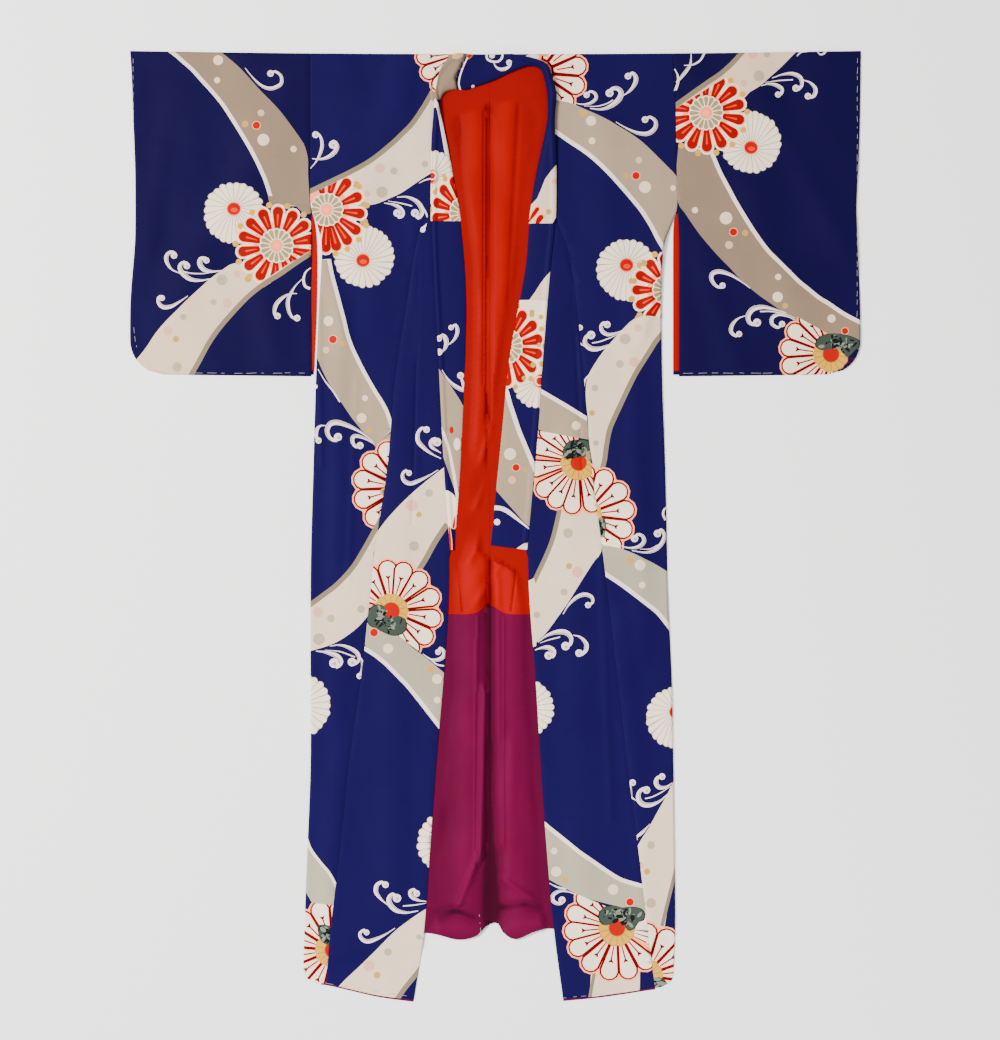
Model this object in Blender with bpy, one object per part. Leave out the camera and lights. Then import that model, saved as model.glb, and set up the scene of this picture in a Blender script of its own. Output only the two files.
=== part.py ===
"""Lined silk kimono laid flat on its back, its fronts drawn open over the lining.

Metres, +Z up. +Y runs from the hem to the shoulders and +X to the wearer's left. The origin is on
the floor, under the middle of the garment. Every panel is a wall of cloth: a grid of points across
and down the panel, once for its face and once for its back. Tables are in millimetres, with x from
the middle of the garment and down measured from the shoulder line.
"""

from collections import namedtuple
from math import cos, exp, hypot, pi, radians, sin, sqrt

import bmesh
import bpy

MM = 0.001

# Driving dimensions, in millimetres
SLEEVE_SPAN = 1244      # from sleeve edge to sleeve edge
LENGTH = 1619           # from the sleeve tops to the tips of the front hem linings
SHOULDER_DIP = 5.5      # how far the neck lies below the sleeve tops
SHOULDER_Y = LENGTH / 2 - SHOULDER_DIP
CENTRE_X = -9.3         # centre back seam
ARMHOLE = 262           # where a sleeve leaves the body
SLEEVE_DROP = 550       # shoulder to sleeve bottom
SLEEVE_CORNER = 57      # radius of the sleeve's rounded corner
HEM_LEVEL = 1600        # level that the front hems are drawn to
HEM_CORNER = 22         # radius where a side fold meets the hem
BACK_HEM_LEVEL = 1490
COLLAR_END = 844        # shoulder line to the collar's lower ends
GORE_TOP = 276          # where the gores (okumi) begin, under the collar's seam
WAIST_SEAM = 954        # red upper lining to purple hem lining
WAIST_DRAW = 15         # how far that seam is drawn up at the centre back
OUTER = 1.2             # outer cloth with its backing
LINING = 1.0
GAP = 0.3               # between pieces that touch
FOLD = 4.5              # radius of the folds at the sides, shoulders and sleeve edges
UNDER_COLLAR = 4        # how far a front runs in under the collar
COLLAR_STEP = 6.5       # how far in from its sewn edge the collar comes down to the lining
HEM_ROLL = 3            # how far a hem lining shows past its outer cloth
HEM_BAND = 26           # depth of the front hem linings
PAST_HEM = 16           # how far past the back hem the fronts begin to come down to the floor
EASE_DOWN = 24          # over which they come down
HEM_LIFT = 100          # depth of the outer back that lifts with its lining's folds
HEM_SPREAD = 300        # over which a front's levels spread to reach its sloping hem
SLEEVE_STRIP = 34       # width of the sleeve lining built at the open inner edge

# Undersides of the layers where they lie flat on each other
LINING_BASE = OUTER + GAP
BAND_BASE = LINING_BASE + LINING + GAP
FRONT_BASE = BAND_BASE + LINING + GAP
COLLAR_BASE = FRONT_BASE + OUTER + GAP

# One row for each level of the body: side folds, the inner seams of the front panels (on the collar
# down to the gores' points, on the gores below them), and the collar seams, then the free front edges.
Level = namedtuple("Level", "down side_right seam_right edge_right edge_left seam_left side_left")
BODY = [
    Level(0, -315, -66, -71, 31, 26, 302),
    Level(8, -315, -78, -83, 62, 57, 302),
    Level(18, -315, -87, -92, 86, 81, 302.5),
    Level(35, -315, -98, -102, 95, 90, 303),
    Level(75, -315, -104, -108, 104, 99, 306),
    Level(130, -315, -104, -109, 101, 96, 307),
    Level(200, -315, -105, -110, 104, 99, 308),
    Level(262, -314, -105, -110, 103, 98, 309),
    Level(290, -304, -124, -110, 102, 106, 300),
    Level(330, -296, -136, -109, 98, 122, 287),
    Level(420, -300, -150, -105, 92, 137, 283),
    Level(560, -306, -171, -97, 82, 151, 284),
    Level(700, -310, -183, -90, 69, 163, 289),
    Level(840, -314, -204, -80, 56, 181, 292),
    Level(930, -315, -214, -80, 58, 192, 294),
    Level(1060, -315, -228, -88, 68, 207, 300),
    Level(1210, -315, -249, -101, 77, 224, 303),
    Level(1350, -320, -263, -111, 87, 242, 305),
    Level(1490, -325, -279, -122, 100, 258, 306),
    Level(1600, -328, -288, -139, 115, 271, 303),
]

# How far down the front hems reach, from the side fold (0) to the front edge (1).
Hem = namedtuple("Hem", "across right left")
FRONT_HEM = [
    Hem(0, 1581, 1588),
    Hem(0.2, 1583, 1591),
    Hem(0.44, 1592.5, 1597.5),
    Hem(0.68, 1602.5, 1603.5),
    Hem(1, 1610.5, 1609),
]

# The back hem waves between the fronts and drops a little towards the sides.
BackHem = namedtuple("BackHem", "x down")
BACK_HEM = [
    BackHem(-330, 1520), BackHem(-122, 1496), BackHem(-100, 1498), BackHem(-63, 1507),
    BackHem(-32, 1500), BackHem(-17, 1485), BackHem(3, 1478), BackHem(13, 1494),
    BackHem(33, 1506), BackHem(66, 1493), BackHem(94, 1488), BackHem(310, 1520),
]

# Inner edges of the collar, then of the fronts: the lining shows between them.
Opening = namedtuple("Opening", "down right left")
OPENING = [
    Opening(30, -60, 60), Opening(92, -93, 88), Opening(147, -82, 80), Opening(215, -70, 67),
    Opening(289, -58, 56), Opening(400, -48, 43), Opening(511, -49, 23), Opening(650, -55, 8),
    Opening(844, -68, -10), Opening(884, -80, 52), Opening(1060, -88, 68), Opening(1210, -101, 77),
    Opening(1350, -111, 87), Opening(1490, -122, 100),
]

# Sleeve edges. The back layer runs a little past the front one at the open inner edge.
SleeveLevel = namedtuple(
    "SleeveLevel", "down outer_right inner_right back_right back_left inner_left outer_left"
)
SLEEVES = [
    SleeveLevel(0, -622, -315, -315, 302, 302, 622),
    SleeveLevel(30, -620, -315, -315, 303, 303, 621.5),
    SleeveLevel(75, -618, -315, -315, 306, 306, 621),
    SleeveLevel(130, -616, -315, -315, 307, 307, 620),
    SleeveLevel(200, -613.5, -315, -315, 308, 308, 617.5),
    SleeveLevel(262, -613, -314, -314, 309, 309, 614.5),
    SleeveLevel(290, -613, -313.5, -307, 303, 311, 615),
    SleeveLevel(330, -614, -313.5, -303.5, 302, 312, 616.5),
    SleeveLevel(430, -621.5, -313.5, -304, 302, 312, 620.5),
    SleeveLevel(550, -621.5, -313.5, -309, 302, 312, 621.5),
]

# The collar as a band seen from above, from its lower right end round the neck to its lower left
# end: its sewn outer edge, its folded inner edge, how high it stands, and how far its outer edge
# lies on a front (1) or on the back's lining (0).
Band = namedtuple("Band", "outer_x outer_down inner_x inner_down rise lap")
COLLAR = [
    Band(-79, 844, -68.5, 844, 3.4, 1),
    Band(-89, 707, -58.5, 707, 3.6, 1),
    Band(-99, 511, -49.5, 511, 4, 1),
    Band(-105, 400, -48.5, 400, 4, 1),
    Band(-110, 285, -58, 285, 5, 1),
    Band(-110, 215, -70.5, 215, 6, 1),
    Band(-109, 147, -82.5, 147, 7, 1),
    Band(-105, 92, -93.5, 92, 9, 1),
    Band(-107, 60, -88, 68, 11, 1),
    Band(-97, 25, -68, 61, 13, 1),
    Band(-70, 1, -52, 62, 13, 1),
    Band(-38, 1, -38, 58, 11, 0),
    Band(0, 1, -3, 46, 10, 0),
    Band(26, 1, 24, 33, 10, 1),
    Band(60, 7, 55, 22, 12, 1),
    Band(88, 19, 76, 27, 13, 1),
    Band(98, 45, 84, 48, 14, 1),
    Band(104, 72, 88, 73, 14, 1),
    Band(101, 112, 88, 112, 12, 1),
    Band(103, 165, 78, 163, 10, 1),
    Band(104, 215, 67.5, 213, 8, 1),
    Band(102.5, 289, 56, 289, 5.5, 1),
    Band(95, 366, 49, 366, 4.5, 1),
    Band(83, 511, 23, 511, 4.2, 1),
    Band(73, 650, 8.5, 650, 4, 1),
    Band(55.5, 844, -10, 836, 3.6, 1),
]
OVER_COLLAR = (4, 21)   # rows of COLLAR between which the over-collar covers it

# Soft folds: a ridge, or a trough where its height is negative, along a line.
Fold = namedtuple("Fold", "x down to_x to_down width height")
LINING_FOLDS = [
    Fold(-38, 870, -48, 1430, 24, 6.5),     # rolls of the hem lining beside the centre
    Fold(24, 870, 38, 1430, 26, 7.5),
    Fold(-9, 830, -8, 1400, 5, -7),         # the deep fold between them
    Fold(-16, 1090, -23, 1370, 5, 4),       # narrow tuck on its right side
    Fold(-8, 1400, -7, 1500, 11, -7),       # the recess at the hem
    Fold(-92, 1486, -38, 1492, 15, 6),      # lobes of the back hem
    Fold(18, 1492, 74, 1478, 15, 6.5),
    Fold(-100, 1462, -50, 1452, 7, -3),     # creases over the lobes
    Fold(14, 1450, 80, 1447, 7, -3.5),
    Fold(-36, 90, -34, 640, 20, 3),         # upper lining, slack on each side of its seam
    Fold(22, 80, 2, 560, 24, 3.2),
    Fold(-10, 60, -12, 620, 7, -2.6),
    Fold(-14, 690, -36, 790, 11, 3.5),      # slanting creases above the waist seam
    Fold(-16, 780, -46, 880, 10, 3.5),
]
FRONT_FOLDS = [
    Fold(-294, 330, -262, 480, 12, 4),      # creases from the underarms
    Fold(284, 325, 252, 470, 13, 5),
    Fold(-262, 430, -276, 1120, 18, 3),     # long soft waves of the fronts
    Fold(-160, 620, -178, 1440, 28, 3),
    Fold(-240, 900, -292, 1520, 18, 2.5),
    Fold(232, 420, 250, 1000, 20, 3),
    Fold(124, 640, 150, 1460, 28, 3.2),
    Fold(215, 980, 268, 1540, 18, 2.6),
    Fold(-175, 60, -228, 330, 30, 2.4),     # shoulders
    Fold(168, 60, 208, 330, 30, 2.6),
    Fold(-360, 70, -545, 430, 34, 3.4),     # sleeves
    Fold(-420, 300, -380, 500, 26, 2.6),
    Fold(-560, 120, -590, 330, 20, 2.2),
    Fold(355, 60, 520, 450, 34, 3.4),
    Fold(455, 80, 590, 330, 26, 2.6),
    Fold(350, 330, 395, 500, 24, 2.6),
]

SILK_BLUE = ((0.018, 0.018, 0.13), 0.55)
SILK_RED = ((0.55, 0.012, 0.006), 0.5)
SILK_PURPLE = ((0.24, 0.015, 0.095), 0.5)


def smooth(rows, at, key, column):
    """The column's value where the key column is `at`, on a smooth curve through the rows."""
    places = [getattr(row, key) for row in rows]
    values = [getattr(row, column) for row in rows]
    last = len(rows) - 1
    i = max(0, min(last - 1, sum(place <= at for place in places) - 1))
    low, high = max(i - 1, 0), min(i + 2, last)
    span = places[i + 1] - places[i]
    t = max(0.0, min(1.0, (at - places[i]) / span))
    leave = (values[i + 1] - values[low]) / (places[i + 1] - places[low]) * span
    arrive = (values[high] - values[i]) / (places[high] - places[i]) * span
    return (
        values[i] * (2 * t**3 - 3 * t**2 + 1)
        + leave * (t**3 - 2 * t**2 + t)
        + values[i + 1] * (3 * t**2 - 2 * t**3)
        + arrive * (t**3 - t**2)
    )


def ease(t):
    """0 to 1 with a soft start and a soft end."""
    t = max(0.0, min(1.0, t))
    return t * t * (3 - 2 * t)


def body(column, down):
    return smooth(BODY, down, "down", column)


def sleeve(column, down):
    return smooth(SLEEVES, down, "down", column)


def back_hem(x):
    return smooth(BACK_HEM, x, "x", "down")


def waist_seam(x):
    """The lining's waist seam, drawn up a little at the centre back."""
    reach = 18
    return WAIST_SEAM - WAIST_DRAW * exp(-(((x - CENTRE_X) / reach) ** 2))


def shoulder_y(x):
    """The shoulder line rises a little towards the sleeve tips."""
    return SHOULDER_Y + SHOULDER_DIP * (2 * x / SLEEVE_SPAN) ** 2


def corner(depth, radius):
    """How far a rounded corner draws an edge in, at this height above the edge below it."""
    if depth >= radius:
        return 0.0
    return radius - sqrt(radius**2 - (radius - max(depth, 0.0)) ** 2)


def folds_height(folds, x, down):
    total = 0.0
    for fold in folds:
        run, fall = fold.to_x - fold.x, fold.to_down - fold.down
        length = hypot(run, fall)
        along = ((x - fold.x) * run + (down - fold.down) * fall) / length
        aside = ((x - fold.x) * fall - (down - fold.down) * run) / length
        past = max(0.0, -along, along - length)
        tail = 3 * fold.width
        if past < tail:
            total += fold.height * exp(-((aside / fold.width) ** 2)) * (1 - ease(past / tail))
    return max(0.0, total)


def neck_edge(x):
    """Where the lining's folds begin, on a slant clear of the collar behind the neck."""
    return 67 - 0.3 * x


def lining_relief(x, down):
    """Folds of the back's lining. They die out just inside the edges of the opening."""
    right = smooth(OPENING, down, "down", "right")
    left = smooth(OPENING, down, "down", "left")
    inside = min(x - right, left - x, down - neck_edge(x))
    margin, fade = 8, 16
    return folds_height(LINING_FOLDS, x, down) * ease((inside - margin) / fade)


def front_relief(x, down):
    """Folds of the fronts and sleeves. They die out before the collar seams and the front edges."""
    side = "right" if x < CENTRE_X else "left"
    away = abs(x - body(f"edge_{side}", down))
    margin, fade = 15, 30
    return folds_height(FRONT_FOLDS, x, down) * ease((away - margin) / fade)


def bed(x, down):
    """What a front lies on: the back's lining, then the floor past the back hem."""
    return BAND_BASE * (1 - ease((down - back_hem(x) - PAST_HEM) / EASE_DOWN))


def front_face(x, down):
    return bed(x, down) + LINING + GAP + OUTER + front_relief(x, down)


def hem_lining_face(x, down):
    return bed(x, down) + LINING


def lining_face(x, down):
    return LINING_BASE + LINING + lining_relief(x, down)


def back_face(x, down):
    """The outer back is flat, and lifts with its lining only along the hem."""
    return OUTER + lining_relief(x, down) * (down > back_hem(x) - HEM_LIFT)


def flat_face(thickness, base=0.0):
    return lambda x, down: base + thickness


Stop = namedtuple("Stop", "share face_shift back_shift rise")


def stops(places, start=None, end=None):
    """Where a panel's grid has points, from one edge to the other.

    A folded edge, with a radius at its end of the list, gets points round its fold. rise is the
    part of the full height that a point has there.
    """
    turned = []
    for angle in (0, 35, 65):
        inset = 1 - cos(radians(angle))
        turned.append((inset, sin(radians(angle))))
    first, last = places[0], places[-1]
    found = []
    if start:
        found += [
            Stop(first, start * inset, OUTER + (start - OUTER) * inset, rise)
            for inset, rise in turned
        ]
    found.append(Stop(first, start or 0, start or 0, 1))
    found += [Stop(place, 0, 0, 1) for place in places[1:-1]]
    found.append(Stop(last, -(end or 0), -(end or 0), 1))
    if end:
        found += [
            Stop(last, -end * inset, -OUTER - (end - OUTER) * inset, rise)
            for inset, rise in reversed(turned)
        ]
    return found


def even(count):
    return [i / count for i in range(count + 1)]


def levels(start, end, step, *fixed):
    """Levels from start to end about a step apart, with the fixed ones among them."""
    fixed = [start, *sorted(fixed), end]
    found = []
    for low, high in zip(fixed, fixed[1:]):
        count = max(1, round((high - low) / step))
        found += [low + (high - low) * i / count for i in range(count)]
    return [*found, end]


def add_material(piece, colour, roughness):
    material = bpy.data.materials.new(piece.name)
    material.use_nodes = True
    shader = material.node_tree.nodes["Principled BSDF"]
    shader.inputs["Base Color"].default_value = (*colour, 1)
    shader.inputs["Roughness"].default_value = roughness
    shader.inputs["Metallic"].default_value = 0
    piece.data.materials.append(material)


def add_piece(name, points, faces, finish):
    """One solid from points in millimetres, with its faces pointing out."""
    mesh = bpy.data.meshes.new(name)
    mesh.from_pydata([(x * MM, y * MM, z * MM) for x, y, z in points], [], faces)
    shell = bmesh.new()
    shell.from_mesh(mesh)
    bmesh.ops.recalc_face_normals(shell, faces=shell.faces)
    if shell.calc_volume(signed=True) < 0:
        bmesh.ops.reverse_faces(shell, faces=shell.faces)
    shell.to_mesh(mesh)
    shell.free()
    mesh.shade_smooth()
    mesh.set_sharp_from_angle(angle=radians(50))
    piece = bpy.data.objects.new(name, mesh)
    bpy.context.scene.collection.objects.link(piece)
    add_material(piece, *finish)
    return piece


def wall(name, face, back, finish):
    """A closed wall between two grids of points of the same size."""
    rows, columns = len(face), len(face[0])
    points = [point for grid in (face, back) for row in grid for point in row]

    def index(side, row, column):
        return (side * rows + row) * columns + column

    faces = []
    for row in range(rows - 1):
        for column in range(columns - 1):
            for side in (0, 1):
                faces.append([
                    index(side, row, column), index(side, row, column + 1),
                    index(side, row + 1, column + 1), index(side, row + 1, column),
                ])
    rim = [(0, column) for column in range(columns - 1)]
    rim += [(row, columns - 1) for row in range(rows - 1)]
    rim += [(rows - 1, column) for column in range(columns - 1, 0, -1)]
    rim += [(row, 0) for row in range(rows - 1, 0, -1)]
    for here, after in zip(rim, rim[1:] + rim[:1]):
        faces.append([index(0, *here), index(0, *after), index(1, *after), index(1, *here)])
    return add_piece(name, points, faces, finish)


def panel(name, finish, columns, rows, left, right, face_height, thickness, drop=None, grip=None):
    """A panel of cloth. Its columns are stops between the edges left(level) and right(level), and
    its rows are stops in levels. drop(x, level) is the distance down that a level stands for, and
    grip(level) is how far a side fold is turned down there, from 0 to 1.
    """
    face, back = [], []
    for grid, is_face in ((face, True), (back, False)):
        for row in rows:
            level = row.share + (row.face_shift if is_face else row.back_shift)
            low, high = left(level), right(level)
            line = []
            for column in columns:
                shift = column.face_shift if is_face else column.back_shift
                x = low + (high - low) * column.share + shift
                down = drop(x, level) if drop else level
                turned = 1 - (grip(level) if grip else 1) * (1 - column.rise)
                height = face_height(x, down) - (0 if is_face else thickness)
                line.append((x, shoulder_y(x) - down, height * turned * row.rise))
            grid.append(line)
    return wall(name, face, back, finish)


def between(side, outer, inner):
    """Left and right edges from an outer and an inner one, whichever side of the body it is."""
    return (outer, inner) if side == "right" else (inner, outer)


def outwards(side):
    return -1 if side == "right" else 1


def below_armhole(level):
    return ease((level - ARMHOLE) / 40)


def front_hem(side):
    """How far down the front hem is at an x."""
    outer, inner = body(f"side_{side}", HEM_LEVEL), body(f"edge_{side}", HEM_LEVEL)
    return lambda x: smooth(FRONT_HEM, (x - outer) / (inner - outer), "across", side)


def front_drop(side):
    """The levels of a front spread over its lower part until the lowest one is its hem."""
    hem = front_hem(side)

    def drop(x, level):
        return level + (hem(x) - HEM_LEVEL) * max(0, 1 - (HEM_LEVEL - level) / HEM_SPREAD)

    return drop


def back_drop(x, level):
    """The levels of the back, with one of them on the waist seam and the lowest on the hem."""
    waist = waist_seam(x)
    if level <= WAIST_SEAM:
        return level * waist / WAIST_SEAM
    share = min(1, (level - WAIST_SEAM) / (BACK_HEM_LEVEL - WAIST_SEAM))
    beyond = max(0, level - BACK_HEM_LEVEL)
    return waist + (back_hem(x) - HEM_ROLL - waist) * share + beyond


def back_columns(side):
    """Columns of the back and its lining, close together near the centre, where the folds are."""
    from_centre = [0, 4, 9, 15, 23, 33, 45, 58, 70, 82, 94, 106, 130]
    if side == "right":
        return [Stop(0, 0, 0, 1)] + [Stop(1, -x, -x, 1) for x in reversed(from_centre)]
    return [Stop(0, x, x, 1) for x in from_centre] + [Stop(1, 0, 0, 1)]


def back_edges(side):
    """The back meets the sleeve at the armhole and stays inside the front's side fold below it."""
    out = outwards(side)
    outer = lambda level: body(f"side_{side}", level) - out * (
        GAP / 2 + (OUTER + FOLD) * below_armhole(level)
    )
    return between(side, outer, lambda level: CENTRE_X + out * GAP / 2)


# Levels that the outer back shares with its lining
HEM_ROWS = [1386, 1410, 1432, 1450, 1468, 1480]


def add_back(side):
    rows = levels(4, HEM_ROWS[0], 200, 262, 290, 330, 420)[:-1] + HEM_ROWS + [BACK_HEM_LEVEL]
    panel(f"back_{side}", SILK_BLUE, back_columns(side), stops(rows), *back_edges(side),
          back_face, OUTER, back_drop)


def add_back_lining(side):
    """Red lining down to the waist seam, then the purple hem lining."""
    columns = back_columns(side)
    upper = levels(6, WAIST_SEAM - GAP / 2, 58, 32, 76, 262, 290, 330, COLLAR_END + 6)
    lower = levels(WAIST_SEAM + GAP / 2, HEM_ROWS[0], 54)[:-1] + HEM_ROWS
    lower += [BACK_HEM_LEVEL, BACK_HEM_LEVEL + HEM_ROLL]
    panel(f"back_lining_upper_{side}", SILK_RED, columns, stops(upper), *back_edges(side),
          lining_face, LINING, back_drop)
    panel(f"back_lining_hem_{side}", SILK_PURPLE, columns, stops(lower), *back_edges(side),
          lining_face, LINING, back_drop)


FRONT_ROWS = levels(
    0, HEM_LEVEL, 62, 11, 18, 26, 35, 50, 75, 130, ARMHOLE, GORE_TOP, 290, 310, 330,
    COLLAR_END, 860, 1500, 1520, 1545, HEM_LEVEL - HEM_CORNER, 1584, 1590, 1596,
)


def add_front(side):
    """Front panel: folded over at the shoulder and, below the sleeve, at the side."""
    out = outwards(side)
    outer = lambda level: body(f"side_{side}", level) - out * (
        GAP / 2 + corner(HEM_LEVEL - level, HEM_CORNER)
    )
    inner = lambda level: body(f"seam_{side}", level) + out * GAP / 2
    columns = stops(even(6), FOLD, None) if side == "right" else stops(even(6), None, FOLD)
    panel(f"front_{side}", SILK_BLUE, columns, stops(FRONT_ROWS, FOLD), *between(side, outer, inner),
          front_face, OUTER, front_drop(side), below_armhole)


def add_gore(side):
    """Gore (okumi) between the front panel and the front edge."""
    out = outwards(side)
    rows = [level for level in FRONT_ROWS if level >= GORE_TOP]
    outer = lambda level: body(f"seam_{side}", level) - out * GAP / 2
    inner = lambda level: body(f"edge_{side}", level) - out * UNDER_COLLAR * (
        1 - ease((level - COLLAR_END) / 16)
    )
    panel(f"gore_{side}", SILK_BLUE, stops(even(5)), stops(rows), *between(side, outer, inner),
          front_face, OUTER, front_drop(side))


def add_hem_lining(side):
    """Purple lining of a front hem, which shows as a thin rolled edge below it."""
    out = outwards(side)
    outer = lambda level: body(f"side_{side}", level) - out * (HEM_CORNER + 2 * FOLD)
    inner = lambda level: body(f"edge_{side}", level) + out * GAP
    rows = [HEM_LEVEL - HEM_BAND, HEM_LEVEL - HEM_BAND / 2, HEM_LEVEL, HEM_LEVEL + HEM_ROLL]
    panel(f"hem_lining_{side}", SILK_PURPLE, stops(even(10)), stops(rows),
          *between(side, outer, inner), hem_lining_face, LINING, front_drop(side))


def add_sleeve(side):
    """A sleeve as it lies: a front layer folded over at the top, outer edge and bottom, a back layer
    under it, and the edge of its lining along the open inner edge.
    """
    out = outwards(side)
    clear = OUTER + FOLD / 3
    straight = SLEEVE_DROP - SLEEVE_CORNER
    arc = [straight + SLEEVE_CORNER * sin(radians(angle)) for angle in (15, 30, 45, 60)]

    def outer_edge(extra):
        return lambda level: sleeve(f"outer_{side}", level) - out * (
            extra + corner(SLEEVE_DROP - extra - level, SLEEVE_CORNER)
        )

    inner_front = lambda level: sleeve(f"inner_{side}", level) + out * GAP / 2
    inner_back = lambda level: sleeve(f"back_{side}", level) + out * GAP / 2
    columns = stops(even(8), FOLD, None) if side == "right" else stops(even(8), None, FOLD)
    rows = levels(0, straight, 62, 130, ARMHOLE) + arc
    panel(f"sleeve_front_{side}", SILK_BLUE, columns, stops(rows + [SLEEVE_DROP], FOLD, FOLD),
          *between(side, outer_edge(0), inner_front), front_face, OUTER)
    rows = levels(clear, straight, 62, 130, ARMHOLE, 290, 330) + arc + [SLEEVE_DROP - clear]
    panel(f"sleeve_back_{side}", SILK_BLUE, stops(even(2)), stops(rows),
          *between(side, outer_edge(clear), inner_back), flat_face(OUTER), OUTER)
    strip_back = lambda level: inner_back(level) + out * SLEEVE_STRIP
    rows = levels(ARMHOLE + 10, SLEEVE_DROP - 2 * FOLD, 80, 290, 330)
    panel(f"sleeve_lining_{side}", SILK_RED, stops(even(2)), stops(rows),
          *between(side, strip_back, inner_back), flat_face(LINING, LINING_BASE), LINING)


def collar_row(at):
    """The collar's edges and height at a place along it, counted in rows of its table."""
    low = max(0, min(len(COLLAR) - 2, int(at)))
    before, after = max(low - 1, 0), min(low + 2, len(COLLAR) - 1)
    t = at - low

    def column(name):
        values = [getattr(COLLAR[i], name) for i in (before, low, low + 1, after)]
        leave = (values[2] - values[0]) / (low + 1 - before)
        arrive = (values[3] - values[1]) / (after - low)
        return (
            values[1] * (2 * t**3 - 3 * t**2 + 1)
            + leave * (t**3 - 2 * t**2 + t)
            + values[2] * (3 * t**2 - 2 * t**3)
            + arrive * (t**3 - t**2)
        )

    return Band(*(column(name) for name in Band._fields))


def collar_width(row):
    return hypot(row.inner_x - row.outer_x, row.inner_down - row.outer_down)


def collar_point(row, share, lift):
    """A point of the collar at a share of its width from its outer edge, at a height over what it
    lies on: the front near its outer edge, and the back's lining further in.
    """
    x = row.outer_x + (row.inner_x - row.outer_x) * share
    down = row.outer_down + (row.inner_down - row.outer_down) * share
    past = (share * collar_width(row) - COLLAR_STEP) / COLLAR_STEP
    lap = max(0.0, min(1.0, row.lap)) * (1 - ease(past))
    base = BAND_BASE + (COLLAR_BASE - BAND_BASE) * lap
    return (x, shoulder_y(x) - down, base + lift)


def collar_arch(row, inset, count=8):
    """Points over the collar from its inner to its outer edge, drawn in by `inset` all round."""
    fullness = 0.55     # below 1 the arch is flatter on top and steeper at its edges than a circle
    points = []
    for i in range(count + 1):
        turn = pi * i / count
        share = 0.5 + (0.5 - inset / collar_width(row)) * cos(turn)
        lift = (row.rise - inset) * max(0.0, sin(turn)) ** fullness
        points.append(collar_point(row, share, lift if 0 < i < count else 0))
    return points


def rings_to_piece(name, rings, finish):
    """A closed solid through rings of the same number of points."""
    count = len(rings[0])
    faces = [list(range(count)), [len(rings) * count - 1 - i for i in range(count)]]
    for ring in range(len(rings) - 1):
        for i in range(count):
            after = (i + 1) % count
            faces.append([
                ring * count + i, ring * count + after,
                (ring + 1) * count + after, (ring + 1) * count + i,
            ])
    return add_piece(name, [point for ring in rings for point in ring], faces, finish)


def add_collar():
    """Collar: a folded band, and the over-collar that is sewn round its middle stretch."""
    first, last = OVER_COLLAR
    taper = 0.12
    inner = OUTER + GAP
    halves = [i / 2 for i in range(2 * (len(COLLAR) - 1) + 1)]
    rings = []
    for at in sorted(halves + [first - taper, last + taper]):
        row = collar_row(at)
        covered = ease((at - first) / taper + 1) * ease((last - at) / taper + 1)
        step = COLLAR_STEP / collar_width(row)
        # Points on its underside where it comes down to the lining, kept apart where it is narrow
        under = [collar_point(row, min(part * step, 0.6 + 0.1 * part), 0) for part in (1, 1.5, 2)]
        rings.append(collar_arch(row, inner * covered) + under)
    rings_to_piece("collar", rings, SILK_BLUE)

    rows = [collar_row(at) for at in halves if first <= at <= last]
    face = [collar_arch(row, 0) for row in rows]
    back = [collar_arch(row, OUTER) for row in rows]
    wall("over_collar", face, back, SILK_BLUE)


def main():
    for obj in list(bpy.data.objects):
        bpy.data.objects.remove(obj)
    for side in ("right", "left"):
        add_back(side)
        add_back_lining(side)
        add_front(side)
        add_gore(side)
        add_hem_lining(side)
        add_sleeve(side)
    add_collar()


main()
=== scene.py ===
import math
import random

import bpy
import numpy as np
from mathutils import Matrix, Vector
from mathutils.bvhtree import BVHTree
from mathutils.geometry import delaunay_2d_cdt


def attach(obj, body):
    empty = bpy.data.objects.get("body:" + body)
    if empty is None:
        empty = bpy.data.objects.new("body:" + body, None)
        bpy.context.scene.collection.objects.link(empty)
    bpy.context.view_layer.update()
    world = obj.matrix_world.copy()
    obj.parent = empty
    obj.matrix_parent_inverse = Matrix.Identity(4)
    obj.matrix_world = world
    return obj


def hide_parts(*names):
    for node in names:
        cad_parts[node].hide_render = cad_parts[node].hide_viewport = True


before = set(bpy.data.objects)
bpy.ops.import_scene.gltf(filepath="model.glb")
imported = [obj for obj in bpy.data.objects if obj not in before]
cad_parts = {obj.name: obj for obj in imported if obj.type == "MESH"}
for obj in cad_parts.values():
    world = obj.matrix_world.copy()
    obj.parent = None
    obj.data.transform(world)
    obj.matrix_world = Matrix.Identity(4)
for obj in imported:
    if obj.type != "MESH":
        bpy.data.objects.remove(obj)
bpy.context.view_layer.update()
random.seed(7)

# Sizes are in millimetres. x is from the middle of the garment, and down is from the shoulder line.
garment = {
    "shoulderY": 804.0,
    "shoulderDip": 5.5,      # how far the neck lies below the sleeve tops
    "span": 1244.0,
    "centreX": -9.3,         # centre back seam
    "armhole": 262.0,        # down to here the sleeves are joined to the body
    "sleeveDrop": 550.0,
    "sleeveCorner": 57.0,    # radius of a sleeve's lower outer corner
    "hemLevel": 1600.0,      # level of the fronts' hem before it is curved
    "hemCorner": 22.0,
    "goreTop": 276.0,
    "collarEnd": 844.0,
    "waistSeam": 954.0,      # where the red lining meets the purple one
    "waistRise": 15.0,       # how far that seam rises at the centre
    "backHem": 1490.0,       # level of the back's hem before it is curved
    "foldRadius": 4.3,       # at the shoulders, the sides and the sleeve edges
}

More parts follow.
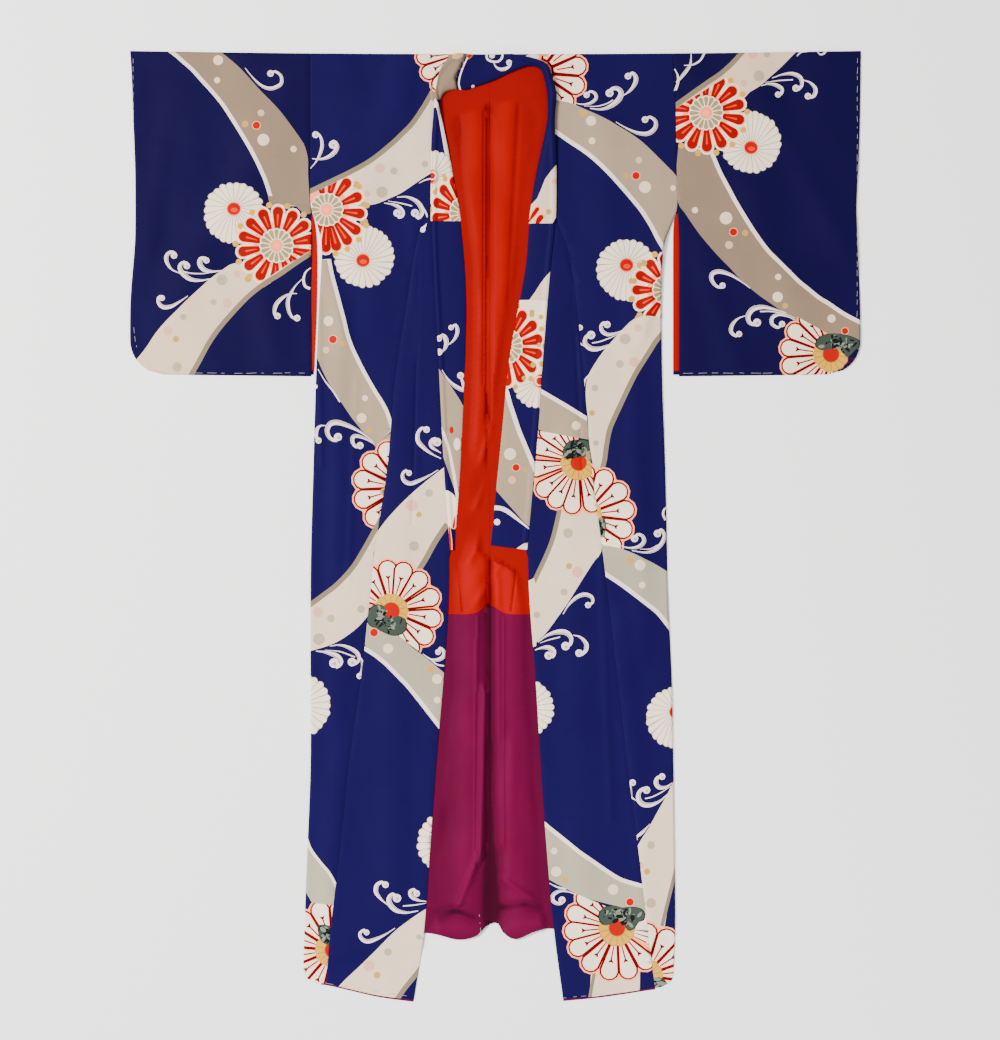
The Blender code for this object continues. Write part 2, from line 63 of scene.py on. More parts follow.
# How the cloth lies, in millimetres: heights over the floor, and how far its folds may sink
lie = {
    "backTop": 1.2,
    "liningTop": 3.4,
    "frontTop": 5.3,
    "sleeveLiningTop": 2.5,
    "underFront": 2.8,       # what lies under a front, down to the back's hem
    "liningRipple": 1.2,
    "frontRipple": 0.9,
    "deepestShade": -9.0,    # the deepest hollow: for the lining's painted shade, and for the collar's creases
    "liningHollow": -1.1,    # the deepest that the lining can sink over the back
    "frontHollow": -1.2,
    "rollsFrom": 1370,       # the back has closer points along folds that end below this level
}

# The body level by level: side folds, inner seams of the front panels, and front edges
bodyColumns = "down sideRight seamRight edgeRight edgeLeft seamLeft sideLeft".split()
bodyRows = [
    (0, -315, -66, -71, 31, 26, 302),
    (8, -315, -78, -83, 62, 57, 302),
    (18, -315, -87, -92, 86, 81, 302.5),
    (35, -315, -98, -102, 95, 90, 303),
    (75, -315, -104, -108, 104, 99, 306),
    (130, -315, -104, -109, 101, 96, 307),
    (200, -315, -105, -110, 104, 99, 308),
    (262, -314, -105, -110, 103, 98, 309),
    (290, -304, -124, -110, 102, 106, 300),
    (330, -296, -136, -109, 98, 122, 287),
    (420, -300, -150, -105, 92, 137, 283),
    (560, -306, -171, -97, 82, 151, 284),
    (700, -310, -183, -90, 69, 163, 289),
    (840, -314, -204, -80, 56, 181, 292),
    (930, -315, -214, -80, 58, 192, 294),
    (1060, -315, -228, -88, 68, 207, 300),
    (1210, -315, -249, -101, 77, 224, 303),
    (1350, -320, -263, -111, 87, 242, 305),
    (1490, -325, -279, -122, 100, 258, 306),
    (1600, -328, -288, -139, 115, 271, 303),
]
frontHems = {"Right": ((0, 0.2, 0.44, 0.68, 1), (1581, 1583, 1592.5, 1602.5, 1610.5)),
             "Left": ((0, 0.2, 0.44, 0.68, 1), (1588, 1591, 1597.5, 1603.5, 1609))}
backHemRow = (
    (-330, -122, -100, -63, -32, -17, 3, 13, 33, 66, 94, 310),
    (1520, 1496, 1498, 1507, 1500, 1485, 1478, 1494, 1506, 1493, 1488, 1520),
)
openingRows = [
    (30, -60, 60), (92, -93, 88), (147, -82, 80), (215, -70, 67), (289, -58, 56), (400, -48, 43),
    (511, -49, 23), (650, -55, 8), (844, -68, -10), (884, -80, 52), (1060, -88, 68),
    (1210, -101, 77), (1350, -111, 87), (1490, -122, 100),
]
sleeveColumns = "down outerRight innerRight backRight backLeft innerLeft outerLeft".split()
sleeveRows = [
    (0, -622, -315, -315, 302, 302, 622),
    (30, -620, -315, -315, 303, 303, 621.5),
    (75, -618, -315, -315, 306, 306, 621),
    (130, -616, -315, -315, 307, 307, 620),
    (200, -613.5, -315, -315, 308, 308, 617.5),
    (262, -613, -314, -314, 309, 309, 614.5),
    (290, -613, -313.5, -307, 303, 311, 615),
    (330, -614, -313.5, -303.5, 302, 312, 616.5),
    (430, -621.5, -313.5, -304, 302, 312, 620.5),
    (550, -621.5, -313.5, -309, 302, 312, 621.5),
]
# The collar from its lower right end round the neck to its lower left end: outer edge, inner edge,
# rise, and how far its outer edge lies on a front (1) or on the back's lining (0)
collarRows = [
    (-79, 844, -68.5, 844, 3.4, 1), (-89, 707, -58.5, 707, 3.6, 1), (-99, 511, -49.5, 511, 4, 1),
    (-105, 400, -48.5, 400, 4, 1), (-110, 285, -58, 285, 5, 1), (-110, 215, -70.5, 215, 6, 1),
    (-109, 147, -82.5, 147, 7, 1), (-105, 92, -93.5, 92, 9, 1), (-107, 60, -88, 68, 11, 1),
    (-97, 25, -68, 61, 13, 1), (-70, 1, -52, 62, 13, 1), (-38, 1, -38, 58, 11, 0),
    (0, 1, -3, 46, 10, 0), (26, 1, 24, 33, 10, 1), (60, 7, 55, 22, 12, 1), (88, 19, 76, 27, 13, 1),
    (98, 45, 84, 48, 14, 1), (104, 72, 88, 73, 14, 1), (101, 112, 88, 112, 12, 1),
    (103, 165, 78, 163, 10, 1), (104, 215, 67.5, 213, 8, 1), (102.5, 289, 56, 289, 5.5, 1),
    (95, 366, 49, 366, 4.5, 1), (83, 511, 23, 511, 4.2, 1), (73, 650, 8.5, 650, 4, 1),
    (55.5, 844, -10, 836, 3.6, 1),
]
overCollarEnds = (4, 21)    # the rows that the over-collar runs between

# Soft folds as lines: x, down, x, down, width, height. Where the height is negative it is a trough.
liningFolds = [
    (-38, 870, -48, 1430, 24, 6.5), (24, 870, 38, 1430, 26, 7.5), (-9, 830, -8, 1400, 5, -7),
    (-16, 1090, -23, 1370, 5, 4), (-8, 1400, -7, 1500, 11, -7), (-92, 1486, -38, 1492, 15, 6),
    (18, 1492, 74, 1478, 15, 6.5), (-100, 1462, -50, 1452, 7, -3), (14, 1450, 80, 1447, 7, -3.5),
    (-8, 1370, -8, 1490, 15, -6), (-9, 1425, -9, 1490, 6, -3), (-14, 900, -13, 1380, 9, -2.5),
    (8, 1453, 47, 1446, 4.5, -4.5), (47, 1446, 88, 1459, 4.5, -3.5), (-60, 1459, -38, 1471, 4.5, -4),
    (-20, 1080, -27, 1360, 6, 5.5), (-27, 1360, -62, 1446, 6, 5), (16, 1405, 59, 1434, 6, 4),
    (25, 1180, 22, 1390, 12, 4), (3, 900, 9, 1340, 7, 4), (-34, 1000, -36, 1380, 2.4, 1.1),
    (14.4, 960, 14, 1380, 2.4, 1.3), (-111, 1481, -69, 1459, 6, -4), (-69, 1459, -43, 1464, 6, -4),
    (-36, 90, -34, 640, 20, 4.5), (22, 80, 2, 560, 24, 5), (-12, 60, -13, 620, 4.5, -6),
    (-20, 100, -21, 560, 2.2, -1.6), (-3, 120, -5, 540, 2.6, -1.6), (40, 90, 22, 420, 5, -1.8),
    (-62, 110, -50, 430, 5, -1.6), (-6, 636, -24, 690, 6, 3), (-4, 716, -30, 767, 7, 4),
    (-9, 793, -43, 861, 7, 4), (8, 868, -30, 930, 7, 3), (-12, 640, -11, 950, 3.5, -4),
    (-66, 849, -55, 951, 2.2, -2), (40, 846, 27, 951, 2.2, -2), (-30, 960, -32, 1080, 3, 1.6),
]
frontFolds = [
    (-294, 330, -262, 480, 12, 4), (284, 325, 252, 470, 13, 5), (-262, 430, -276, 1120, 18, 3),
    (-160, 620, -178, 1440, 28, 3), (-240, 900, -292, 1520, 18, 2.5),
    (232, 420, 250, 1000, 20, 3), (124, 640, 150, 1460, 28, 3.2), (215, 980, 268, 1540, 18, 2.6),
    (-175, 60, -228, 330, 30, 2.4), (168, 60, 208, 330, 30, 2.6), (-360, 70, -545, 430, 34, 3.4),
    (-420, 300, -380, 500, 26, 2.6), (-560, 120, -590, 330, 20, 2.2), (355, 60, 520, 450, 34, 3.4),
    (455, 80, 590, 330, 26, 2.6), (350, 330, 395, 500, 24, 2.6),
    (-128, 300, -142, 800, 3, -1.2), (-236, 560, -250, 900, 6, 1.2), (-300, 420, -296, 700, 5, 1.4),
    (290, 420, 288, 640, 5, 1.4), (128, 330, 150, 760, 3, -1.2), (180, 860, 196, 1300, 7, 1.3),
    (-330, 250, -520, 262, 3, -0.8), (-470, 535, -340, 532, 7, 1.2), (470, 536, 380, 530, 7, 1.2),
]
collarFolds = [
    (-46, -4, -66, 42, 2.6, -6), (-66, 42, -64, 66, 2.6, -6), (-60, 10, -72, 40, 7, 1.2),
    (96, 62, 101, 88, 5, -1.6), (101, 92, 96, 128, 6, -1.4), (-98, 62, -92, 96, 4, -1.5),
    (20, 14, 64, 18, 9, -1.6),
]


def curve(places, values):
    # a smooth curve through the rows, for a number or for an array of them
    places, values = np.array(places, float), np.array(values, float)
    last = len(places) - 1

    def at(place):
        place = np.asarray(place, float)
        i = np.clip(np.searchsorted(places, place, "right") - 1, 0, last - 1)
        low, high = np.maximum(i - 1, 0), np.minimum(i + 2, last)
        span = places[i + 1] - places[i]
        t = np.clip((place - places[i]) / span, 0, 1)
        leave = (values[i + 1] - values[low]) / (places[i + 1] - places[low]) * span
        arrive = (values[high] - values[i]) / (places[high] - places[i]) * span
        return (values[i] * (2 * t**3 - 3 * t**2 + 1) + leave * (t**3 - 2 * t**2 + t)
                + values[i + 1] * (3 * t**2 - 2 * t**3) + arrive * (t**3 - t**2))

    return at


def columnCurves(names, rows):
    columns = list(zip(*rows))
    return {name: curve(columns[0], column) for name, column in zip(names[1:], columns[1:])}


body = columnCurves(bodyColumns, bodyRows)
sleeve = columnCurves(sleeveColumns, sleeveRows)
opening = columnCurves(["down", "right", "left"], openingRows)
backHem = curve(*backHemRow)


def ease(t):
    t = np.clip(t, 0, 1)
    return t * t * (3 - 2 * t)


def shoulderY(x):
    return garment["shoulderY"] + garment["shoulderDip"] * (2 * x / garment["span"]) ** 2


def foldsHeight(folds, x, down, lowest=0.0):
    total = np.zeros_like(x)
    for x0, down0, x1, down1, width, height in folds:
        run, fall = x1 - x0, down1 - down0
        length = math.hypot(run, fall)
        along = ((x - x0) * run + (down - down0) * fall) / length
        aside = ((x - x0) * fall - (down - down0) * run) / length
        past = np.maximum(0, np.maximum(-along, along - length)) / (3 * width)
        total += height * np.exp(-((aside / width) ** 2)) * (1 - ease(past))
    return np.maximum(lowest, total)


print("scene: tables read")


def ripple(x, y, size, seed):
    # small waves that no fold explains, the same on every run
    shortest, longest, waves, circle = 35, 150, 14, 6.28
    draw = random.Random(seed)
    total = np.zeros_like(x)
    for _ in range(waves):
        turn, wave = draw.uniform(0, math.pi), draw.uniform(shortest, longest)
        phase = draw.uniform(0, circle)
        total += np.sin((x * math.cos(turn) + y * math.sin(turn)) / wave * circle + phase) * wave
    return total * size / 400


def foldPoints(folds):
    # points that follow the narrow folds, so that the mesh can take their shape
    rows = []
    for x0, down0, x1, down1, width, _ in folds:
        length = math.hypot(x1 - x0, down1 - down0)
        along = np.linspace(0, 1, max(3, int(length / 5)))
        for offset in (-1.7, -1.1, -0.55, 0, 0.55, 1.1, 1.7):
            x = x0 + (x1 - x0) * along + offset * width * (down1 - down0) / length
            down = down0 + (down1 - down0) * along - offset * width * (x1 - x0) / length
            rows.append(np.column_stack([x, shoulderY(x) - down]))
    return np.concatenate(rows)


def inOpening(x, down):
    # 1 where the lining shows between the fronts, easing to 0 beneath them
    neckDown, neckSlope = 67, 0.3
    inside = np.minimum(np.minimum(x - opening["right"](down), opening["left"](down) - x),
                        down - (neckDown - neckSlope * x))
    return ease((inside - 8) / 16)


def liningShade(x, down):
    # how far the lining rises or falls, for the painted light and shade of its dye; the deepest hollows are
    # only painted darker, as the cloth itself sinks less
    folds = foldsHeight(liningFolds, x, down, lie["deepestShade"])
    return (folds + ripple(x, down, lie["liningRipple"], 3)) * inOpening(x, down)


def backRelief(x, down):
    # the rolls that the back takes from its lining near the hem
    narrowest, start = 14, 160
    rolls = [fold for fold in liningFolds if fold[4] > narrowest and fold[5] > 0]
    return foldsHeight(rolls, x, down) * inOpening(x, down) * ease((down - backHem(x) + start) / 50)


def liningRelief(x, down):
    lowest = np.maximum(backRelief(x, down) - 1, lie["liningHollow"])
    return np.maximum(liningShade(x, down), lowest)


def frontRelief(x, down):
    edge = np.where(x < garment["centreX"], body["edgeRight"](down), body["edgeLeft"](down))
    relief = foldsHeight(frontFolds, x, down, -1.0) + ripple(x, down, lie["frontRipple"], 5)
    return np.maximum(relief, lie["frontHollow"]) * ease((np.abs(x - edge) - 15) / 30)


def pastHem(x, down):
    # 1 on the back's lining, easing to 0 past the back hem, where the fronts come down to the floor
    return 1 - ease((down - backHem(x) - 16) / 24)


def frontHeight(x, down):
    return lie["frontTop"] - lie["underFront"] * (1 - pastHem(x, down)) + frontRelief(x, down)


def hemLiningHeight(x, down):
    return lie["underFront"] * pastHem(x, down) + 1


def liningHeight(x, down):
    return lie["liningTop"] + liningRelief(x, down)


def backHeight(x, down):
    return lie["backTop"] + backRelief(x, down)


def levelAt(height):
    # the same height everywhere
    return lambda x, down: np.full_like(x, height)


def corner(depth, radius):
    # how far a rounded corner draws an edge in, at this height above the edge below it
    depth = np.clip(depth, 0, radius)
    return radius - np.sqrt(radius**2 - (radius - depth) ** 2)


def outwards(side):
    return -1 if side == "Right" else 1


def belowArmhole(down):
    # 0 down to the armhole's end, easing to 1 below it
    return ease((down - garment["armhole"]) / 40)


def waistSeam(x):
    return garment["waistSeam"] - garment["waistRise"] * np.exp(-(((x - garment["centreX"]) / 18) ** 2))


def frontDrop(side):
    # levels of a front spread over its lower part until the lowest one is its hem
    across, hem = frontHems[side]
    hemAt = curve(across, hem)
    level, lowerPart = garment["hemLevel"], 300
    outer, inner = body["side" + side](level), body["edge" + side](level)

    def drop(x, down):
        spread = np.clip(1 - (level - down) / lowerPart, 0, None)
        return down + (hemAt(np.clip((x - outer) / (inner - outer), 0, 1)) - level) * spread

    return drop


def backDrop(x, level):
    # levels of the back spread until one is its waist seam and another lies just above its hem
    waistLevel, hemLevel, waist = garment["waistSeam"], garment["backHem"], waistSeam(x)
    share = np.clip((level - waistLevel) / (hemLevel - waistLevel), 0, 1)
    lower = waist + (backHem(x) - 3 - waist) * share + np.clip(level - hemLevel, 0, None)
    return np.where(level <= waistLevel, level * waist / waistLevel, lower)


def segmentDistance(points, line, reach=12.0):
    # distance from each point to the nearest stretch of a line, where that is within reach
    found, count = np.full(len(points), 1e9), 12
    for first in range(0, len(line) - 1, count):
        part = line[first:first + count + 1]
        near = ((points > part.min(0) - reach) & (points < part.max(0) + reach)).all(1)
        near = np.flatnonzero(near)
        if not len(near):
            continue
        starts, runs = part[:-1], part[1:] - part[:-1]
        away = points[near, None] - starts[None]
        along = np.clip((away * runs).sum(2) / np.maximum((runs**2).sum(1), 1e-9), 0, 1)
        off = away - along[..., None] * runs
        found[near] = np.minimum(found[near], np.sqrt((off**2).sum(2).min(1)))
    return found


def insideOutline(points, outline):
    # which points an outline goes round
    turns = np.zeros(len(points), int)
    ends = np.roll(outline, -1, 0)
    for (x0, y0), (x1, y1) in zip(outline, ends):
        if y0 != y1:
            crosses = (points[:, 1] < y0) != (points[:, 1] < y1)
            at = x0 + (points[:, 1] - y0) * (x1 - x0) / (y1 - y0)
            turns += (crosses & (points[:, 0] < at)) * (1 if y1 > y0 else -1)
    return turns != 0


def turned(distance, radius):
    # a quarter round: 0 at an edge and 1 from its radius inwards
    return np.sqrt(1 - (1 - np.clip(distance / radius, 0, 1)) ** 2)


def area(points):
    x, y = points[:, 0], points[:, 1]
    return float((x * np.roll(y, -1) - np.roll(x, -1) * y).sum() / 2)


def triangulate(outline, inner, shapes):
    # triangles inside an outline that follow the edges of every shape, with the topmost shape of each
    points, edges = [], []
    for line in [outline, *shapes]:
        first, count = len(points), len(line)
        edges += [(first + i, first + (i + 1) % count) for i in range(count)]
        points += line.tolist()
    points += inner.tolist()
    found, _, triangles, _, _, _ = delaunay_2d_cdt(
        [Vector(point) for point in points], edges, [], 0, 1e-4, False)
    flat = np.array([point[:] for point in found])
    corners = np.array([triangle[:3] for triangle in triangles])
    a, b, c = (flat[corners[:, i]] for i in range(3))
    signed = (b - a)[:, 0] * (c - a)[:, 1] - (b - a)[:, 1] * (c - a)[:, 0]
    corners[signed < 0] = corners[signed < 0][:, ::-1]
    middles = (a + b + c) / 3
    kept = insideOutline(middles, outline) & (np.abs(signed) > 1e-7)
    corners, middles = corners[kept], middles[kept]
    tops = np.zeros(len(corners), int)
    for number, line in enumerate(shapes, 1):
        near = np.flatnonzero((middles > line.min(0)).all(1) & (middles < line.max(0)).all(1))
        if len(near):
            tops[near[insideOutline(middles[near], line)]] = number
    used, corners = np.unique(corners, return_inverse=True)
    return flat[used], corners.reshape(-1, 3), tops


def nearestOf(points, others):
    # the number of the nearest other point, for each point
    return np.array([((others - point) ** 2).sum(1).argmin() for point in points])


def rimOf(points, outline):
    # the points on an outline, in order round it
    closed = np.concatenate([outline, outline[:1]])
    near = np.flatnonzero(segmentDistance(points, closed, 1) < 2e-3)
    starts, runs = closed[:-1], closed[1:] - closed[:-1]
    lengths = np.sqrt((runs**2).sum(1))
    before = np.concatenate([[0], np.cumsum(lengths)])
    away = points[near, None] - starts[None]
    along = np.clip((away * runs).sum(2) / np.maximum(lengths**2, 1e-9), 0, 1)
    part = np.sqrt(((away - along[..., None] * runs) ** 2).sum(2)).argmin(1)
    place = before[part] + along[np.arange(len(near)), part] * lengths[part]
    place[place > before[-1] - 1e-4] = 0
    return near[np.argsort(place, kind="stable")]


def normalsOf(line):
    # at each point of a line, the direction to its left
    run = np.gradient(line, axis=0)
    run /= np.maximum(np.linalg.norm(run, axis=1), 1e-9)[:, None]
    return np.stack([-run[:, 1], run[:, 0]], 1)


plainLip = 0.7    # how far a seam's edge dips


def gripOf(edge, down):
    # how firmly a fold is turned down to the floor, from 0 to 1, at these levels
    return edge["grip"](down) if "grip" in edge else np.ones_like(down)


# How far inside a panel's edge its first points lie, for its upper and for its lower face
fineOffsets = (0.25, 0.7, 1.3, 2.2, 3.3, 4.6)
fewOffsets = (1.4, 2.6, 4.6)


class Panel:
    # A piece of cloth seen from above. Its edges run round it, anticlockwise, each a line of points
    # with a finish: a fold, turned down to the floor, or a seam, with a small lip.
    def __init__(self, name, edges, height, thickness, step=9, fine=None):
        self.name, self.height, self.thickness = name, height, thickness
        self.step, self.fine = step, fine
        self.edges = edges
        line = np.concatenate([edge["line"][:-1] for edge in edges])
        self.outline = line if area(line) > 0 else line[::-1]

    def surface(self, points, inset=0.0):
        x, y = points[:, 0], points[:, 1]
        down = shoulderY(x) - y
        z = self.height(x, down) - inset
        lip = np.zeros_like(z)
        for edge in self.edges:
            inward = inset * edge.get("fold", 0)
            distance = segmentDistance(points, edge["line"]) - inward
            rounded = 1 - turned(distance, max(edge.get("radius", 1.1) - inward, 0.3))
            if edge.get("fold"):
                grip = gripOf(edge, down)
                z = z * (1 - grip * rounded)
                lip += (1 - grip) * rounded * plainLip
            else:
                lip += rounded * edge.get("lip", plainLip)
        return np.maximum(z - lip * (inset == 0), 0)

    def normals(self, points):
        reach = 0.15
        z = self.surface(points)
        middle = self.outline.mean(0)
        slopes = []
        for axis in (0, 1):
            # the step is taken inwards, so that it doesn't leave the panel
            step = np.zeros_like(points)
            step[:, axis] = np.where(points[:, axis] < middle[axis], reach, -reach)
            slopes.append((self.surface(points + step) - z) / step[:, axis])
        normal = np.stack([-slopes[0], -slopes[1], np.ones(len(points))], 1)
        return z, normal / np.linalg.norm(normal, axis=1)[:, None]

    def innerPoints(self, step, offsets):
        # staggered rows of points, with closer ones along narrow folds and inside the edges
        low, high = self.outline.min(0), self.outline.max(0)
        rows = []
        for row, y in enumerate(np.arange(low[1] + step / 2, high[1], step * 0.87)):
            xs = np.arange(low[0] + (row % 2) * step / 2, high[0], step)
            rows.append(np.stack([xs, np.full_like(xs, y)], 1))
        points = np.concatenate(rows)
        if self.fine and offsets is not fewOffsets:
            points = np.concatenate([points, foldPoints(self.fine)])
        points = points[insideOutline(points, self.outline)]
        closed = np.concatenate([self.outline, self.outline[:1]])
        points = points[segmentDistance(points, closed) > max(offsets[-1] + 1.5, step * 0.3)]
        for edge in self.edges:
            line = edge["line"]
            aside = normalsOf(line)
            for offset in offsets if edge.get("fold") else offsets[:3]:
                shifted = line + aside * offset
                if not insideOutline(shifted[len(line) // 2][None], self.outline)[0]:
                    shifted = line - aside * offset
                shifted = shifted[insideOutline(shifted, self.outline)]
                if len(shifted):
                    shifted = shifted[segmentDistance(shifted, closed) > offset * 0.97]
                points = np.concatenate([points, shifted])
        return points


# The print is laid out in steps of 1.7 mm, x and down, from the corner of the layout sheet.
layout = {"step": 1.7, "middle": 495.45, "shoulder": 53.5}

# Dyes as they look on the silk, red, green and blue from 0 to 255
dyes = {
    "ground": (50, 37, 93),
    # the sleeves' ground is drawn a little darker than the body's
    "sleeveGround": (46, 34, 85),
    "redLining": (160, 14, 6),
    "purpleLining": (118, 38, 82),
    "grey": (156, 143, 130),
    "greyBody": (172, 161, 147),
    "tint": (196, 181, 144),
    "greyHem": (176, 172, 159),
    "creamBody": (210, 199, 186),
    "cream": (209, 196, 181),
    "white": (217, 209, 203),
    "band": (152, 143, 128),
    "red": (156, 30, 16),
    "orange": (205, 84, 36),
    "pink": (240, 175, 155),
    "ring": (170, 160, 135),
    "heart": (230, 165, 145),
    "petal": (222, 214, 203),
    "petalShade": (192, 186, 176),
    "blush": (236, 205, 192),
    "blushDeep": (240, 178, 152),
    "eyeEdge": (215, 120, 90),
    "vein": (168, 160, 150),
    "eye": (172, 48, 26),
    "outline": (126, 26, 20),
    "ochre": (200, 174, 112),
    "ochreDeep": (178, 148, 76),
    "moss": (96, 104, 98),
    "mossDeep": (52, 56, 54),
    "ink": (25, 25, 22),
    "mossPale": (146, 150, 140),
    "scroll": (216, 208, 206),
    "scrollShade": (176, 170, 172),
    "dotPink": (206, 182, 168),
    "dotOchre": (190, 168, 124),
    "dotGrey": (184, 176, 160),
    "dotWhite": (212, 202, 189),
    "dotRed": (172, 50, 28),
    "thread": (186, 182, 184),
}


def smoothLine(points, spacing=3.0, closed=False):
    # points on a smooth curve through these ones
    p = np.array(points, float)
    if closed:
        p = np.concatenate([p[-1:], p, p[:2]])
    else:
        p = np.concatenate([2 * p[:1] - p[1:2], p, 2 * p[-1:] - p[-2:-1]])
    found = []
    for a, b, c, d in zip(p, p[1:], p[2:], p[3:]):
        count = max(1, int(round(np.linalg.norm(c - b) / spacing)))
        for i in range(count):
            t = i / count
            found.append(0.5 * (2 * b + (c - a) * t + (2 * a - 5 * b + 4 * c - d) * t * t
                                + (3 * b - a - 3 * c + d) * t**3))
    if not closed:
        found.append(p[-2])
    return np.array(found)


def disc(x, y, radius, flat=1.0, count=None, turn=0.0):
    count = count or max(8, int(radius * 2.6))
    angles = np.arange(count) / count * 2 * np.pi
    px, py = radius * np.cos(angles), radius * flat * np.sin(angles)
    c, s = math.cos(math.radians(turn)), math.sin(math.radians(turn))
    return np.stack([x + px * c - py * s, y + px * s + py * c], 1)


def dots(dye, *places):
    # round dots, the red ones with a pink rim
    shapes = []
    for x, y, radius in places:
        if dye == "dotRed":
            shapes.append((disc(x, y, radius + 0.7), "pink"))
        shapes.append((disc(x, y, radius), dye))
    return shapes


def stroke(points, width, dye="scroll", tail=0.4, bulb=None, spacing=2.2):
    # a line that swells from its tail
    line = smoothLine(points, spacing)
    half = width / 2 * (tail + (1 - tail) * ease(np.linspace(0, 1, len(line)) / 0.65))
    return ribbon(line, half, dye) + ([(disc(*bulb), dye)] if bulb else [])


def ribbon(line, half, dye):
    side = normalsOf(line) * half[:, None]
    shapes = []
    for i in range(0, len(line) - 1, 3):
        part = slice(i, min(i + 4, len(line)))
        shapes.append((np.concatenate([(line + side)[part], (line - side)[part][::-1]]), dye))
    return shapes


def scroll(points, bulbX, bulbY, bulbRadius, width=2.4):
    # a curl: thin at its tail, fullest on its bend, and closed by a round bulb
    line = smoothLine([*points, (bulbX, bulbY)], 2.0)
    along = np.linspace(0, 1, len(line))
    swell = 0.18 + 0.82 * ease(along / 0.6) - 0.42 * ease((along - 0.62) / 0.38)
    half = width * 0.84 * swell
    shade = line + normalsOf(line) * (half * 0.55)[:, None]
    return (ribbon(line, half, "scroll") + ribbon(shade[3:-4], half[3:-4] * 0.3, "scrollShade")
            + [(disc(bulbX, bulbY, bulbRadius * 1.06), "scroll")]
            + [(disc(bulbX + 0.5, bulbY + 0.6, bulbRadius * 0.4), "scrollShade")])


def patch(dye, *points, closed=True, spacing=4.0):
    return [(smoothLine(points, spacing, closed=closed), dye)]


def plain(dye, *points):
    return [(np.array(points, float), dye)]


def extended(line, reach):
    first, last = line[0] - line[1], line[-1] - line[-2]
    first, last = first / np.linalg.norm(first), last / np.linalg.norm(last)
    return np.concatenate([[line[0] + first * reach], line, [line[-1] + last * reach]])


def stream(fill, edging, width, bordered, other, reach=7):
    # a stream between two banks, with a border inside the first one
    first = extended(smoothLine(bordered, 4), reach)
    second = extended(smoothLine(other, 5), reach)
    normal = normalsOf(first)
    towards = second.mean(0) - first.mean(0)
    if (normal.mean(0) * towards).sum() < 0:
        normal = -normal
    inner = first + normal * width
    return [(np.concatenate([first, second[::-1]]), edging),
            (np.concatenate([inner, second[::-1]]), fill)]


def clipped(points, x, y, angle, distance):
    # the part of a shape that lies on the near side of a straight cut
    ax, ay = math.cos(math.radians(angle)), -math.sin(math.radians(angle))
    depth = (points[:, 0] - x) * ax + (points[:, 1] - y) * ay - distance
    found = []
    for i in range(len(points)):
        j = (i + 1) % len(points)
        if depth[i] <= 0:
            found.append(points[i])
        if (depth[i] <= 0) != (depth[j] <= 0):
            t = depth[i] / (depth[i] - depth[j])
            found.append(points[i] + (points[j] - points[i]) * t)
    return np.array(found)


def petal(angle, base, tip, width, baseWidth, grow=0.0, steps=7):
    # a wedge with a round tip, along +x at this angle, y down
    radius = width + grow
    turn = np.radians(np.linspace(-90, 90, steps))
    x = np.concatenate([[base - grow], tip - width + radius * np.cos(turn), [base - grow]])
    y = np.concatenate([[-baseWidth - grow], radius * np.sin(turn), [baseWidth + grow]])
    c, s = math.cos(math.radians(angle)), math.sin(math.radians(angle))
    return np.stack([x * c - y * s, -(x * s + y * c)], 1)


def scalloped(count, radius, depth, phase=0.0, steps=5):
    angles = np.arange(count * steps) / (count * steps) * 2 * np.pi
    swell = np.abs(np.sin((angles - math.radians(phase) + np.pi / count) * count / 2))
    reach = radius - depth + depth * swell**0.6
    return np.stack([reach * np.cos(angles), -reach * np.sin(angles)], 1)


def placed(shapes, x, y, squash=1.0, cut=None):
    found = []
    for points, dye in shapes:
        points = points * (squash, 1) + (x, y)
        if cut:
            points = clipped(points, x, y, *cut)
        if len(points) > 2:
            found.append((points, dye))
    return found


def redMum(x, y, phase, radius=39, petals=14, squash=1.0, cut=None, angles=None, longer=0, towards=0):
    big = radius / 39
    angles = angles or [phase + 360 / petals * i for i in range(petals)]
    tips = [radius + longer * max(0, math.cos(math.radians(angle - towards))) for angle in angles]
    shapes = []
    for grow, dye in ((2.9, "petal"), (1.3, "pink")):
        for angle, tip in zip(angles, tips):
            shapes.append((petal(angle, 14 * big, tip, 4.5 * big, 1.2, grow), dye))
        if grow > 2:
            shapes.append((scalloped(petals, 33 * big, 2), "petal"))
    shapes.append((disc(0, 0, 23 * big), "pink"))
    for angle, tip in zip(angles, tips):
        shapes.append((petal(angle, 14 * big, tip, 5.3 * big, 2.1), "red"))
        shapes.append((petal(angle, 20 * big, tip - 7, 1.1, 0.4, steps=3), "orange"))
    for angle, tip in zip(angles, tips):
        spot = math.radians(angle + 180 / petals)
        reach = tip + 2
        shapes.append((disc(reach * math.cos(spot), -reach * math.sin(spot), 3.1, count=8), "ochre"))
    shapes.append((scalloped(16, 17.5 * big, 1.6), "petal"))
    for i in range(16):
        shapes.append((petal(22.5 * i, 7 * big, 16.5 * big, 2.3 * big, 0.9, steps=5), "ring"))
    shapes.append((disc(0, 0, 6.5 * big), "heart"))
    shapes.append((disc(0, 0, 3.2 * big), "pink"))
    return placed(shapes, x, y, squash, cut)


def bent(points, bend, radius):
    # a petal turned a little more the further out it goes
    reach = np.hypot(points[:, 0], points[:, 1])
    turn = math.radians(bend) * (reach / radius) ** 2
    x, y = points[:, 0], -points[:, 1]
    return np.stack([x * np.cos(turn) - y * np.sin(turn), -(x * np.sin(turn) + y * np.cos(turn))], 1)


